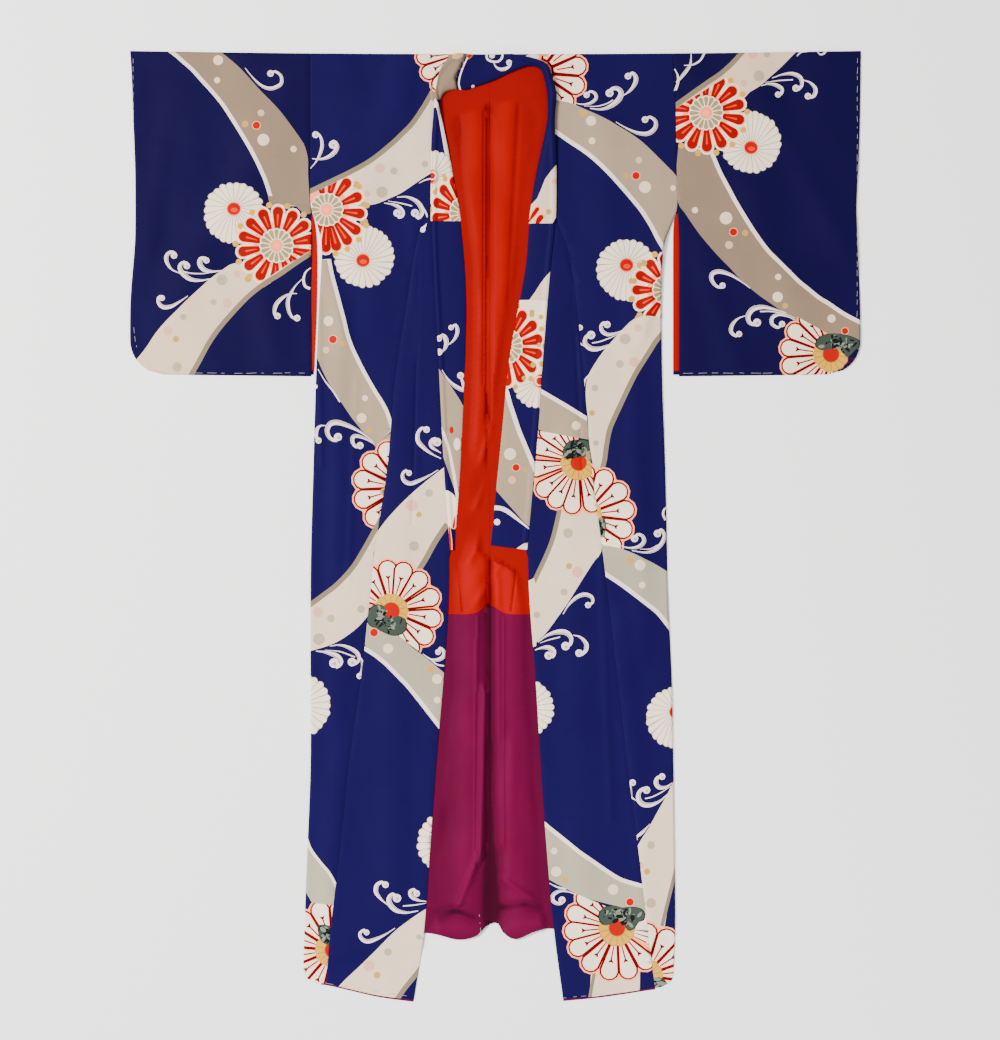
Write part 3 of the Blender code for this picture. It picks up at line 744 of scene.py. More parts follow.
def daisy(x, y, radius=31, reach=4, towards=-90, petals=25, squash=1.0, eye=(6.3, 5.8)):
    draw = random.Random(int(x * 3 + y))
    shapes = [(disc(0, 0, radius * 0.72), "petalShade")]
    start = draw.uniform(0, 12)
    for ring in (0, 1):
        for i in range(petals):
            angle = start + 360 / petals * (i + ring * 0.5)
            leaning = math.cos(math.radians(angle - towards))
            tip = radius + reach * leaning + draw.uniform(-0.8, 0.6) - (1.6 if ring == 0 else 0)
            width = radius * (0.105 if ring else 0.09) * draw.uniform(0.9, 1.1)
            bend = -14 * math.sin(math.radians(angle - towards)) * (reach > 0)
            for grow, dye in ((0.55, "vein"), (0, "petal")):
                leaf = petal(angle, 7 + 2 * (1 - ring), tip, width, 0.9, grow, 6)
                shapes.append((bent(leaf, bend, radius), dye))
    shapes.append((disc(0, 0, eye[0] + 0.8, eye[1] / eye[0]), "eyeEdge"))
    shapes.append((disc(0, 0, eye[0], eye[1] / eye[0]), "eye"))
    shapes.append((disc(0.4, 1.2, eye[0] * 0.6, eye[1] / eye[0] * 0.7), "orange"))
    return placed(shapes, x, y, squash)


veinTip = [(32, -0.5), (34.8, -2.5), (35.7, -1.8), (34.9, 0), (35.7, 1.8), (34.8, 2.5), (32, 0.5)]


def crestMum(x, y, angles, radius=50, ring=17.5, centre=8, moss=(), squash=1.0, cut=None, spread=26):
    shapes = []
    width = radius * 0.174 * spread / 26
    for angle in angles:
        for aside in (-0.5, 0.5):
            shapes.append((petal(angle + spread * aside, 14, radius - 3, 6, 2, 1, 5), "blushDeep"))
        shapes.append((petal(angle, 14, radius, width, 2, 3.2), "blushDeep"))
    for angle in angles:
        shapes.append((petal(angle, 14, radius, width, 2.0, 1.5), "outline"))
        shapes.append((petal(angle, 15, radius, width - 0.5, 1.9), "blush"))
        shapes.append((petal(angle, 26, radius - 0.9, width - 1.2, 3.9), "petal"))
        shapes.append((petal(angle, 18, 34, 0.75, 0.6, steps=3), "outline"))
        c, s = math.cos(math.radians(angle)), math.sin(math.radians(angle))
        shapes.append((np.array([(a * c - b * s, -(a * s + b * c)) for a, b in veinTip]), "outline"))
    shapes.append((scalloped(14, ring + 0.7, 1.6), "ochreDeep"))
    shapes.append((scalloped(14, ring, 1.6), "ochre"))
    for i in range(14):
        shapes.append((petal(360 / 14 * (i + 0.5), centre, ring - 1.5, 0.4, 0.4, steps=3), "ochreDeep"))
    shapes.append((disc(0, 0, centre + 0.7), "ochreDeep"))
    shapes.append((disc(0, 0, centre), "eye"))
    found = placed(shapes, x, y, squash, cut)
    if len(moss):
        line = smoothLine(moss, 3, closed=True)
        middle = line.mean(0)
        found.append((middle + (line - middle) * 1.05, "mossDeep"))
        found.append((line, "moss"))
        draw = random.Random(int(x * 7 + y))
        for _ in range(60):
            t = draw.random()
            anchor = middle + (line[int(t * len(line)) % len(line)] - middle) * draw.uniform(0.1, 0.86)
            dye = draw.choice(["mossDeep", "mossDeep", "mossPale", "mossPale", "moss", "ink"])
            size = draw.uniform(1.4, 4.2) * (0.6 if dye == "ink" else 1)
            leaf = disc(*anchor, size, draw.uniform(0.25, 0.6), 8, draw.gauss(-35, 45))
            found.append((leaf, dye))
    return found


def rays(x, y, angles, base, tip, dye="outline", width=0.55):
    return placed([(petal(angle, base, tip, width, width * 0.6, steps=3), dye) for angle in angles], x, y)


def together(*groups):
    return [shape for group in groups for shape in group]


sleeveRightPrint = together(
    stream("grey", "white", 3.8,
           [(167, 51), (175, 57), (183, 64), (191, 71), (200, 81), (210, 92), (220, 104), (230, 119),
            (240, 135), (250, 152), (258, 168), (264, 182), (269, 198), (271, 205)],
           [(220, 51), (240, 68), (260, 90), (280, 111), (300, 138), (305, 147), (308, 160), (308, 175),
            (310, 205)], reach=1),
    plain("grey", (268, 196), (309, 196), (311, 214), (304, 214), (296, 206), (285, 203), (276, 204),
          (270, 207)),
    dots("dotWhite", (218, 60, 5), (217, 80, 3.2), (263.5, 140, 6), (293.5, 149, 3.3)),
    dots("dotPink", (261, 113, 3.5)),
    dots("dotOchre", (245, 124, 3.5)),
    dots("dotRed", (256.5, 125.5, 3.8)),
    daisy(234, 209, reach=4, towards=-90),
    redMum(276.5, 245.5, 87.5, cut=(-56, 27.7)),
    stream("cream", "band", 5,
           [(325, 247), (311, 256), (300, 263), (290, 270), (280, 277), (270, 283), (260, 290), (250, 298),
            (240, 308), (230, 319), (220, 331), (211, 344), (205, 355), (199, 366), (192, 378)],
           [(312, 250), (290, 262), (262, 263), (235, 263), (222, 270), (210, 279), (200, 288), (188, 299),
            (178, 309), (165, 322), (155, 334), (147, 346), (140, 355), (133, 363)]),
    dots("dotPink", (237, 274, 3.8), (227.5, 303, 4.8), (168, 331, 4.8)),
    dots("dotGrey", (222, 280, 5.5), (213.5, 302, 3.3), (183.5, 317, 3.3), (177, 367, 4.8)),
    dots("dotOchre", (248, 279, 3.5), (176, 339, 3.3)),
    redMum(276.5, 245.5, 87.5, cut=(-56, 22)),
    scroll([(245, 68), (254, 79), (263, 86.5), (272, 88.5), (281, 84), (281, 76), (275, 71.5)],
           270.5, 73.5, 3.2, 2.2),
    scroll([(222, 270.5), (212, 271.5), (204, 269.5), (200, 264), (201, 259), (206, 258.5)],
           206.5, 260.5, 3, 3),
    scroll([(213, 278.5), (200, 280.5), (190, 279), (182, 272.5), (180, 266), (184, 262.5), (188.5, 264.5)],
           187, 266, 3.2, 2.8),
    stroke([(216, 271), (205, 273.5), (192, 273.5), (183, 271.5)], 1.2),
    scroll([(180, 273.5), (172, 269.5), (167, 262.5), (166.5, 256), (170.5, 252), (175, 253)],
           174, 255.5, 3.2),
    scroll([(188, 296), (180, 301.5), (171, 306.5), (163, 307), (158.5, 302.5), (158.5, 297.5),
            (161.5, 296)], 162, 298, 2.8),
    stroke([(312, 267), (306, 271.5), (303.5, 279), (305, 286), (310, 288.5)], 2.6),
    scroll([(302, 279), (296, 285), (292, 291), (288, 300), (288.5, 310), (292, 317), (296.5, 319)],
           297, 318, 3.2, 2.2),
    scroll([(297, 293.5), (289, 294), (281, 299), (276, 305), (274.5, 312), (276, 317)],
           277.5, 316, 3.2),
)

sleeveLeftPrint = together(
    stream("cream", "band", 5,
           [(740, 51), (730, 62), (720, 71), (710, 78), (700, 85), (690, 92), (676, 102)],
           [(797, 51), (790, 58), (780, 68), (770, 77), (760, 86), (750, 92), (747, 95), (730, 112),
            (700, 118), (676, 118)]),
    dots("dotPink", (753, 54, 5), (744, 83, 3.8)),
    dots("dotGrey", (767, 54, 3.5), (759, 76, 5.5)),
    stream("grey", "white", 4,
           [(716, 158), (722, 172), (730, 187), (738, 202), (750, 222), (760, 237), (770, 250), (780, 260),
            (790, 270), (800, 280), (810, 288), (820, 296), (830, 302), (840, 309), (850, 315), (862, 321)],
           [(678, 150), (676, 176), (678, 202), (685, 213), (693, 225), (700, 235), (710, 247), (720, 258),
            (730, 268), (740, 279), (750, 288), (760, 296), (770, 303), (780, 310), (790, 317),
            (812, 340), (862, 350)]),
    daisy(751, 147.5, reach=5, towards=90),
    redMum(706, 113, -88.5, cut=(122, 20)),
    dots("dotWhite", (695, 210, 3.3), (726, 218, 6.3), (778, 277, 3.3), (777.5, 297, 5.2),
         (831.5, 318.5, 4.2)),
    dots("dotRed", (733.5, 232, 3.8), (845, 331, 3.3)),
    dots("dotOchre", (745, 233, 3.3), (785, 306, 3)),
    dots("dotPink", (729, 245, 4)),
    crestMum(831, 354, [124, 148, 172, 196, 220, 244, 268], radius=50, cut=(61.4, 16.4), spread=24,
             moss=[(816, 345), (820, 337), (830, 334), (845, 335), (858, 340), (860, 345), (855, 350),
                   (848, 357), (843, 353), (838, 348), (830, 349), (822, 350)]),
    rays(831, 354, [292, 303, 314, 325, 336, 347], 19, 34, width=0.6),
    scroll([(691, 51), (691, 58), (689.5, 66), (683, 75), (677, 82)], 677, 82, 1, 2),
    stroke([(684, 65.5), (692, 65), (700, 60.5), (705, 52)], 2),
    stroke([(674.5, 69), (677.5, 75), (678, 82), (675.5, 90)], 2.5),
    scroll([(761, 86), (768, 84), (776, 85), (782, 89), (781, 94)], 778, 94.5, 3),
    stroke([(765, 82.5), (778, 80.5), (793, 79.5)], 1.2),
    scroll([(772, 78), (782, 74.5), (792, 73.5), (800, 77), (802, 84), (799, 89)], 796, 88, 3.4),
    scroll([(802, 79.5), (810, 82.5), (815.5, 89), (814, 95.5), (809, 97.5)], 808, 96, 3.2),
    stroke([(797, 56), (801, 52), (808, 50.5)], 2),
    stroke([(817, 51), (820, 54.5), (824, 53.5), (826, 50.5)], 2),
    scroll([(750, 288), (740, 280.5), (730, 274.5), (719, 271.5), (712, 274), (711.5, 280), (716, 286),
            (722, 287.5)], 722.5, 285.5, 3, 2.6),
    scroll([(786, 313), (775, 309.5), (763, 307), (753, 309), (748, 316), (750, 323), (757, 324.5)],
           757, 322.5, 3.8, 3),
    stroke([(795, 318), (785, 314), (772, 311.5), (760, 311.5)], 1.2),
    scroll([(746, 315.5), (738, 318.5), (732, 325), (731, 332), (736, 336)], 739, 334, 3),
    scroll([(795, 320), (786, 316), (778, 314.5), (772, 318), (772, 324), (778, 327.5)], 782, 324, 3, 2.2),
)

frontRightPrint = together(
    stream("creamBody", "band", 5,
           [(310, 188.5), (330, 179), (350, 169.5), (370, 158), (390, 142), (400, 132.5), (410, 122.5),
            (420, 108), (426, 98), (431, 89), (440, 72)],
           [(310, 206), (326, 205), (345, 206), (370, 205), (380, 202.5), (390, 198), (400, 193.5),
            (410, 187), (420, 180), (431, 173), (442, 165)]),
    stroke([(419, 183), (425, 180), (431, 178.5)], 1.4),
    dots("dotPink", (380, 168, 5), (367, 194, 3.5)),
    dots("dotGrey", (394, 171, 3.8), (425, 164, 3.5), (382, 192, 5.8)),
    crestMum(465, 52, [187, 209, 231], radius=48, spread=22),
    plain("greyBody", (456, 50), (452, 60), (441, 70), (434, 80), (430, 92), (431, 100), (446, 100),
          (460, 50)),
    dots("dotOchre", (356, 184.5, 3.5), (364, 205, 3.5), (364, 222, 4), (357, 241, 3.5), (346, 252, 3)),
    stream("greyBody", "white", 3.8,
           [(331, 260), (334, 275), (338, 290), (342, 305), (346, 320), (349, 333), (353, 345), (358, 356),
            (364, 368), (370, 379), (377, 391), (384, 402), (389, 412), (394, 428)],
           [(300, 262), (300, 300), (302, 335), (317, 358), (322, 370), (330, 385), (338, 397), (347, 411),
            (355, 422), (364, 433), (374, 445)], reach=1),
    plain("greyBody", (374, 445), (378, 450), (384, 460), (386, 472), (388, 472), (388, 455), (391, 440),
          (394.5, 428)),
    daisy(363, 260.5, reach=4, towards=75),
    redMum(326.5, 209.5, 0, angles=[52.7, 22, -7, -35, -56, -75, -91, -112, -134, 78, 104],
           longer=5, towards=-90, radius=38, cut=(115, 21)),
    dots("dotWhite", (328.5, 321, 5), (365, 398, 3), (361.5, 418, 5)),
    dots("dotRed", (333, 339.5, 4)),
    dots("dotOchre", (343, 344, 3), (369, 430, 3)),
    dots("dotPink", (326, 350, 3.5)),
    stroke([(318, 369), (325, 381), (333, 391), (340, 402)], 1.6),
    [(disc(315.5, 386.5, 2.2), "scroll")],
    scroll([(309.5, 169), (315, 163), (319.5, 155), (322, 146), (321, 138), (317.5, 133)],
           315.5, 134.5, 3.3, 2),
    scroll([(312, 158.5), (321, 159), (329, 156.5), (335.5, 151), (337, 145), (333.5, 141)],
           333, 144.5, 4, 2.6),
    scroll([(384, 203), (393, 204.5), (400, 208), (403, 214), (399, 217.5)], 397, 213, 3.5),
    stroke([(388, 201), (400, 203), (412, 206)], 1.2),
    scroll([(397, 197), (407, 197), (416, 201), (421, 207), (422, 213), (418, 218)], 415, 213, 3.8, 2.8),
    stroke([(416, 199), (422, 206), (426, 213), (428, 219)], 1.6),
    scroll([(373, 442), (362, 433), (350, 426.5), (338, 422.5), (330, 424), (327, 431), (330, 438),
            (336, 440.5)], 338, 437, 3.8, 3),
    scroll([(326, 425.5), (320, 426), (316.5, 430), (316, 436)], 318.5, 440.5, 3),
    scroll([(374, 444), (366, 439), (358, 436), (353, 437), (352.5, 442), (356, 447)], 360, 445.5, 3.4),
    crestMum(402, 488, [140, 168, 196, 226, 112, 252], radius=48.5, spread=27.7, cut=(180, 60)),
    dots("dotOchre", (384, 492, 4)),
    stroke([(386, 512), (382, 525), (378, 535)], 1.6, "dotRed"),
    stream("creamBody", "band", 5,
           [(382, 512), (372, 530), (362, 548), (350, 567), (335, 583), (322, 593), (303, 607)],
           [(400, 560), (385, 594), (366, 618), (358, 627), (345, 637), (330, 645), (303, 653)]),
    dots("dotPink", (318, 612, 5)),
    dots("dotGrey", (331, 618.5, 4), (319, 639, 6), (361, 609, 4), (376, 554, 3.5)),
    scroll([(316, 651), (327, 652.5), (337, 656), (341, 662), (337, 667)], 334, 663, 4.5, 3),
    scroll([(330, 646), (340, 645), (350, 648), (357, 653), (359, 659), (355, 664)], 352, 662, 4),
    stroke([(325, 650), (340, 651.5), (355, 657)], 1.2),
    scroll([(358, 654), (362, 661), (363, 668), (360, 676)], 359.5, 676, 3),
    daisy(298, 705, radius=33, reach=0),
    [(disc(333, 950, 45), "petal")],
    crestMum(333, 950, [189, 162, 135, 108, 216, 81, 243], radius=50, spread=27,
             moss=[(318, 927), (326, 925), (334, 930), (334, 944), (322, 941)]),
    plain("greyHem", (296, 838), (305, 838), (311, 850), (320, 862), (330, 874), (340, 890), (340, 905),
          (311, 903), (305, 892), (296, 880)),
    stroke([(306, 838), (311, 850), (320, 862), (330, 874), (338, 890)], 2.8, "white", tail=1),
    plain("ground", (304, 889), (312, 903), (305, 905)),
)

goreRightPrint = together(
    [(disc(422.5, 229.5, 3), "scroll")],
    plain("scroll", (421, 228), (427, 223), (424.5, 231)),
    scroll([(441, 458.5), (432, 454), (424, 448), (418, 441), (418, 433), (422, 428)],
           426.5, 429.5, 3.2, 2.6),
    scroll([(441, 453), (436, 450), (431.5, 446.5), (431, 441.5), (435, 438.5)], 437, 442, 4),
    scroll([(438, 470), (428, 476), (418, 481), (410, 483.5), (404, 480.5), (402.5, 474.5), (406, 470.5)],
           409, 473, 2.8),
    stream("creamBody", "creamBody", 1,
           [(443, 468), (425, 482), (410, 495), (395, 510), (383, 524), (366, 548)],
           [(450, 520), (445, 530), (435, 545), (425, 563), (418, 572), (400, 600), (362, 606)]),
    stroke([(447, 524), (435, 542), (425, 560), (416, 574)], 5.5, "band", tail=1),
    dots("dotPink", (412, 505.5, 6)),
    dots("dotOchre", (419, 514.5, 3)),
    dots("dotGrey", (414, 546, 5), (429, 493, 4)),
    stream("greyHem", "greyHem", 1,
           [(362, 620), (367, 650), (385, 663), (400, 678), (411, 690), (440, 727)],
           [(390, 610), (405, 640), (425, 657), (443, 672)]),
    stroke([(362, 647), (372, 653), (385, 663), (400, 678), (411, 690), (443, 731)], 4, "white", tail=1),
    crestMum(391, 611, [-62, 147, 121, 94.7, 72.8, 48, 19, -10, -37], radius=50, centre=8.5, ring=17,
             cut=(233, 15.3), spread=26,
             moss=[(367, 617), (371, 608), (378, 605), (384, 607), (384, 614), (390, 618), (398, 616),
                   (405, 620), (406, 627), (402, 633), (392, 635), (380, 630), (370, 625)]),
    dots("dotRed", (374, 632.5, 4)),
    dots("dotWhite", (388, 648.5, 5), (437, 679, 5), (437, 700, 3.5)),
    dots("dotOchre", (431, 669, 4)),
    scroll([(423, 654), (430, 659), (437, 660), (443, 657), (444, 652), (440, 648)], 438, 652, 2.8),
    stroke([(428, 657), (436, 664), (444, 666)], 1.5),
    daisy(449, 843, radius=32, reach=0),
    scroll([(388, 905), (381, 899), (376, 892), (377, 885), (382, 882)], 385.5, 884.5, 3.2, 2.6),
    scroll([(418, 911), (406, 912.5), (396, 910), (390, 904), (389, 898), (393, 894)], 397, 898, 4, 3),
    stroke([(427, 903), (415, 905), (403, 906)], 1.2),
    scroll([(427, 901.5), (419, 900.5), (412, 897), (410, 892), (414, 889.5)], 416.5, 893.5, 3.2),
    scroll([(395, 928), (386, 934), (376, 939), (367, 941.5), (361, 938), (360, 933), (364, 930)],
           366.5, 932.5, 2.8),
    stream("creamBody", "creamBody", 1,
           [(440, 898), (427, 908), (412, 918), (395, 931), (378, 948), (360, 966), (345, 980), (330, 996)],
           [(440, 940), (428, 958), (418, 972), (408, 984), (394, 1006)]),
    stroke([(424, 964), (414, 977), (405, 988), (396, 1001)], 5, "band", tail=1),
    dots("dotGrey", (388, 952, 4), (419, 937, 3)),
    dots("dotPink", (369, 966, 5.5)),
    dots("dotOchre", (377, 975.5, 3.5)),
)

frontLeftPrint = together(
    [(disc(539, 72.5, 21), "petal")],
    crestMum(539, 72.5, [9.4, -19.4, 38, -48, 66], radius=47, spread=28, ring=8, centre=3),
    plain("ochre", (518, 48), (546, 48), (548, 57), (540, 55), (530, 52.5), (520, 51.5)),
    stream("greyBody", "white", 4.2,
           [(546, 128), (555.5, 134), (560, 137), (570, 144), (580, 150.5), (590, 158), (600, 167),
            (610, 177), (620, 188), (630, 199.5), (640, 212), (650, 228), (656, 240), (664, 254)],
           [(548, 98), (562, 101), (571, 103), (580, 107), (590, 111.5), (600, 116), (610, 121),
            (620, 127), (630, 133), (640, 140), (650, 149), (660, 159), (668, 167), (677, 177),
            (690, 200), (690, 250)], reach=2),
    dots("dotOchre", (583, 113, 4), (626, 175.5, 3)),
    dots("dotWhite", (591, 121, 5), (592, 141, 3.5), (645, 187, 6), (673, 188, 3)),
    dots("dotPink", (639, 160, 3.5)),
    dots("dotRed", (636, 175.5, 3.8)),
    scroll([(575, 103), (583, 104.5), (591, 103), (596, 98.5), (595, 93.5), (590, 91.5)],
           586.5, 95, 3, 2),
    scroll([(590, 108.5), (601, 109.5), (611, 106), (619, 99), (621, 92), (616.5, 88), (611, 89.5)],
           609.5, 93, 3.8, 3.2),
    stroke([(584, 106), (596, 106.5), (606, 104), (613, 100)], 1.2),
    scroll([(621.5, 96.5), (629, 91.5), (634.5, 84.5), (636, 77.5), (632.5, 73)], 628, 76, 3.2, 2.6),
    scroll([(616, 122), (627, 128.5), (638, 133), (648, 133.5), (655, 128), (655.5, 121), (650, 117)],
           645, 119.5, 3.2, 2.6),
    stroke([(674.5, 69), (677.5, 76), (677, 83), (675, 91)], 2.4),
    daisy(626.5, 265, reach=5, towards=-90),
    redMum(668, 290, 180, radius=36, petals=13),
    dots("dotOchre", (644, 263, 3.2), (634, 281, 3.2), (632, 299, 3.2), (638, 318, 3.2), (652, 330, 3.2)),
    stream("creamBody", "band", 5,
           [(680, 318), (660, 340), (652, 352), (645, 363), (637, 376), (630, 390), (623, 405), (617, 418),
            (612, 430), (609, 445), (607, 460), (605, 468)],
           [(662, 318), (648, 316), (634, 319), (622, 330), (612, 341), (602, 353), (594, 365), (588, 376),
            (586, 387), (586, 400), (588, 420), (589, 440), (592, 460), (594, 470)], reach=2),
    dots("dotGrey", (625, 339, 5.5), (620, 364, 4), (595, 388, 3.5), (596, 443, 3)),
    dots("dotPink", (634, 362, 5), (638, 328, 4)),
    dots("dotOchre", (592, 413, 3)),
    stroke([(597, 368), (590, 374), (585, 380), (584, 387)], 1.6),
    scroll([(585, 346.5), (580, 343), (577, 336.5), (577.5, 330)], 580, 327.5, 2.8),
    scroll([(617, 340.5), (607, 346), (597, 349), (590, 348), (585, 343), (586, 337), (590, 334)],
           591, 335, 4, 3),
    stroke([(624, 331), (612, 337), (600, 341.5), (592, 343)], 1.2),
    scroll([(624, 330), (616, 333), (608, 334.5), (602.5, 331.5), (601, 326), (604, 322.5)],
           607, 324.5, 3.4),
    crestMum(584, 515, [7, 34, 61, -20, -47, 88], radius=50, spread=27,
             moss=[(598, 520), (604, 518), (606, 528), (602, 537), (597, 534)]),
    scroll([(621, 546), (630, 548), (639, 546.5), (644, 541.5), (642.5, 536), (637, 534.5)],
           634.5, 538.5, 3.5),
    scroll([(632, 550.5), (645, 552.5), (655, 550), (662, 543), (664.5, 535), (661, 529.5)],
           657.5, 533.5, 3.6),
    stroke([(640, 549), (650, 549), (658, 545)], 1.2),
    stroke([(669, 506), (664.5, 509), (663, 514), (665.5, 520)], 2.2, tail=0.8),
    stream("greyHem", "white", 4.2,
           [(590, 567), (600, 573), (608, 578), (620, 586), (632, 595), (645, 605), (655, 613),
            (662, 621), (672, 634)],
           [(596, 543), (602, 545), (615, 547), (625, 550), (635, 554), (645, 559), (655, 564),
            (676, 577)]),
    dots("dotOchre", (630, 560, 4)),
    dots("dotWhite", (640, 565, 5.5), (642, 585, 3.5)),
    daisy(676, 712, reach=6, towards=-90),
    scroll([(637, 801), (631.5, 797), (630, 790.5), (629.5, 784.5)], 632.5, 782.5, 3.2),
    scroll([(668, 794), (659, 801.5), (650, 805), (642.5, 804), (638.5, 799), (639, 792.5), (643.5, 788.5)],
           646.5, 790, 3.6, 3),
    stroke([(671, 786), (662, 792), (652, 797), (645, 798.5)], 1.2),
    scroll([(672, 783), (666, 787), (659.5, 787.5), (656, 783), (657.5, 777.5)], 662, 776.5, 3.2, 2.8),
    scroll([(650, 824), (643, 831.5), (636.5, 837)], 636, 839, 1.6, 1.8),
    plain("creamBody", (680, 770), (676, 776), (668, 793), (658, 811), (648, 829), (642, 838), (638, 845),
          (630, 862), (630, 930), (664, 930), (670, 895), (676, 868)),
    stroke([(677, 866), (672, 885), (667, 905), (662, 926)], 3.6, "band", tail=1),
    dots("dotGrey", (651, 845, 4), (651, 903, 5)),
    dots("dotOchre", (647, 871.5, 3.3)),
    dots("dotPink", (641, 865, 3)),
    [(disc(645, 976, 46), "petal")],
    crestMum(645, 976, [60, 33, 87, 114, 141, 168, 6, -21], radius=52, spread=27,
             moss=[(652, 981), (660, 978), (667, 984), (660, 992), (653, 990)]),
)

goreLeftPrint = together(
    stream("greyBody", "white", 4,
           [(536, 386), (543, 390), (566, 403.5), (588, 417), (600, 424)],
           [(528, 425), (540, 430), (546, 432), (555, 434), (565, 436), (580, 438), (600, 442)], reach=2),
    dots("dotWhite", (576, 425.5, 4.5)),
    stream("creamBody", "band", 4.5,
           [(558, 505), (557, 511), (554, 525), (550, 540), (544, 555), (537, 570), (530, 585)],
           [(605, 500), (603, 530), (601, 552), (595, 560), (587, 572), (577, 588), (567, 604), (557, 618),
            (545, 634), (526, 652)], reach=2),
    plain("creamBody", (526, 582), (534, 578), (540, 600), (536, 646), (526, 650)),
    crestMum(578.5, 462.5, [113, 135, 158, 188, 217.6, 239, 261.5, 288, 311, 335], radius=51,
             cut=(79.4, 24), spread=24,
             moss=[(563, 452), (565, 446), (570, 441), (577, 440), (583, 440), (590, 442), (591, 447),
                   (590, 452), (586, 456), (578, 457), (570, 458), (565, 458)]),
    patch("ring", (586, 452), (591, 450), (594, 456), (592, 463), (587, 460)),
    dots("dotGrey", (568, 533, 5), (564, 592, 3.8), (537, 615, 3.5)),
    dots("dotOchre", (569, 566, 3.3)),
    dots("dotPink", (577.5, 572, 5.5)),
    scroll([(563, 614), (569, 604.5), (577, 597), (585, 594.5), (591.5, 597), (592.5, 602.5)],
           588, 605, 3),
    scroll([(535, 650), (541, 648), (548, 647.5), (553.5, 651), (552.5, 656.5)], 548.5, 655.5, 3.8, 3),
    scroll([(538, 642), (547, 635.5), (557, 632), (566, 632.5), (571, 638), (570, 644.5)],
           565.5, 646, 4, 3),
    stroke([(540, 643), (550, 639.5), (560, 637)], 1.2),
    scroll([(573, 635), (580, 637), (586, 643.5), (585.5, 650.5), (580.5, 655)], 579, 653, 3.6, 2.6),
    daisy(524, 708, radius=30, reach=0),
    stream("greyHem", "white", 4,
           [(538, 817), (544, 821), (550, 826), (560, 834), (570, 842), (580, 850), (590, 857), (600, 864),
            (610, 871), (620, 877), (628, 880), (650, 886)],
           [(536, 872), (550, 880), (557, 884), (565, 888), (573, 892), (590, 899), (650, 915)]),
    dots("dotWhite", (554, 851, 3.5), (556, 871.5, 5.2), (613, 889.5, 5.2)),
    dots("dotOchre", (565, 880, 3.5)),
    plain("creamBody", (592, 960), (640, 960), (640, 1006), (586, 1006), (590, 990)),
    stroke([(595, 970), (592, 986), (589, 1003)], 3.5, "band", tail=1),
    plain("petal", (632, 916), (650, 914), (660, 960), (640, 964), (628, 940)),
    crestMum(617, 928, [113, 137, 161, 184, 207, 233, 260, 285, 311], radius=52, ring=18,
             cut=(66.5, 15.4), spread=25,
             moss=[(599, 917), (601, 911), (606, 907), (615, 906), (622, 908), (632, 907), (641, 909),
                   (644, 914), (643, 920), (638, 922), (634, 928), (629, 930), (625, 927), (623, 920),
                   (618, 920), (612, 924), (603, 924)]),
    rays(617, 928, [324, 334, 344, 354], 19, 33, width=0.65),
    dots("dotRed", (630, 902, 3.8)),
    scroll([(576, 894.5), (568, 891.5), (560, 891), (553.5, 894.5), (552.5, 900), (557, 903.5),
            (562, 903)], 562, 900, 3.4),
    stroke([(549, 883), (557, 887), (566, 889)], 1.6),
)

overCollarPrint = together(
    plain("grey", (444, 50), (469, 50), (468, 55), (462, 68), (456, 80.5), (457, 94), (447, 97), (436, 101),
          (428, 112), (426, 98), (428, 88), (430, 78), (431, 60)),
    crestMum(465, 52, [187, 209, 231], radius=48, spread=22, ring=8),
    plain("grey", (453, 50), (449, 57), (441, 68), (437.5, 80), (434, 98), (446, 97), (457, 94),
          (456, 80.5), (462, 68), (468, 55), (469, 50)),
    plain("tint", (453, 51), (464, 51), (463, 57), (457, 60), (452, 59)),
    stroke([(487, 50), (487, 59), (492, 62), (498, 62), (502, 58), (502.5, 50)], 2.2, tail=1,
           bulb=(492, 56, 3)),
    scroll([(493, 62), (496, 67.5), (501, 70), (507, 68.5), (510.5, 65)], 509, 63, 2.8, 2),
    stroke([(467.5, 58), (463, 68), (459.5, 79), (459, 86), (461.5, 92)], 1.6, tail=1),
    [(disc(473, 87, 1.8), "scroll")],
    plain("white", (435, 99), (438.5, 104), (443, 124), (447.5, 146), (452.5, 172), (455, 190), (453, 190),
          (449.5, 172), (444.5, 152), (440, 126), (436.5, 108), (431, 108)),
    daisy(432, 177, radius=27, reach=0, eye=(3, 6)),
    plain("petal", (433, 186), (440, 180), (448, 172), (455, 190), (460, 224), (430, 224)),
    [(disc(432.5, 176, 4.4), "blush"), (disc(432, 176, 3.3), "eye")],
    dots("ochre", (437.5, 189, 2.2), (444, 176, 2.2)),
    redMum(463, 213.5, 188, radius=39, squash=0.8, angles=[214, 188, 162, 136, 110, 84]),
    plain("creamBody", (555.7, 165.5), (551.4, 170.7), (545, 179.3), (541.4, 188.6), (537.1, 198.6),
          (532.1, 203.6), (526, 207), (524, 226), (551, 226), (555.5, 218), (560, 217), (560, 165)),
    stroke([(528, 223), (534, 214), (538, 208)], 6, "pink", bulb=(537.8, 208.6, 3)),
    stroke([(528.5, 222), (533.5, 214.5), (537.4, 209)], 4, "red", tail=0.3, bulb=(537.4, 209.2, 2)),
    stroke([(535, 227), (539, 220), (541.6, 216)], 7.2, "pink", bulb=(541.4, 216.8, 3.6)),
    stroke([(535.5, 226), (538.6, 220.5), (541, 217)], 5.2, "red", tail=0.4, bulb=(541, 217.4, 2.6)),
    dots("dotOchre", (548.6, 212, 3)),
    dots("dotPink", (554.3, 182, 3)),
)

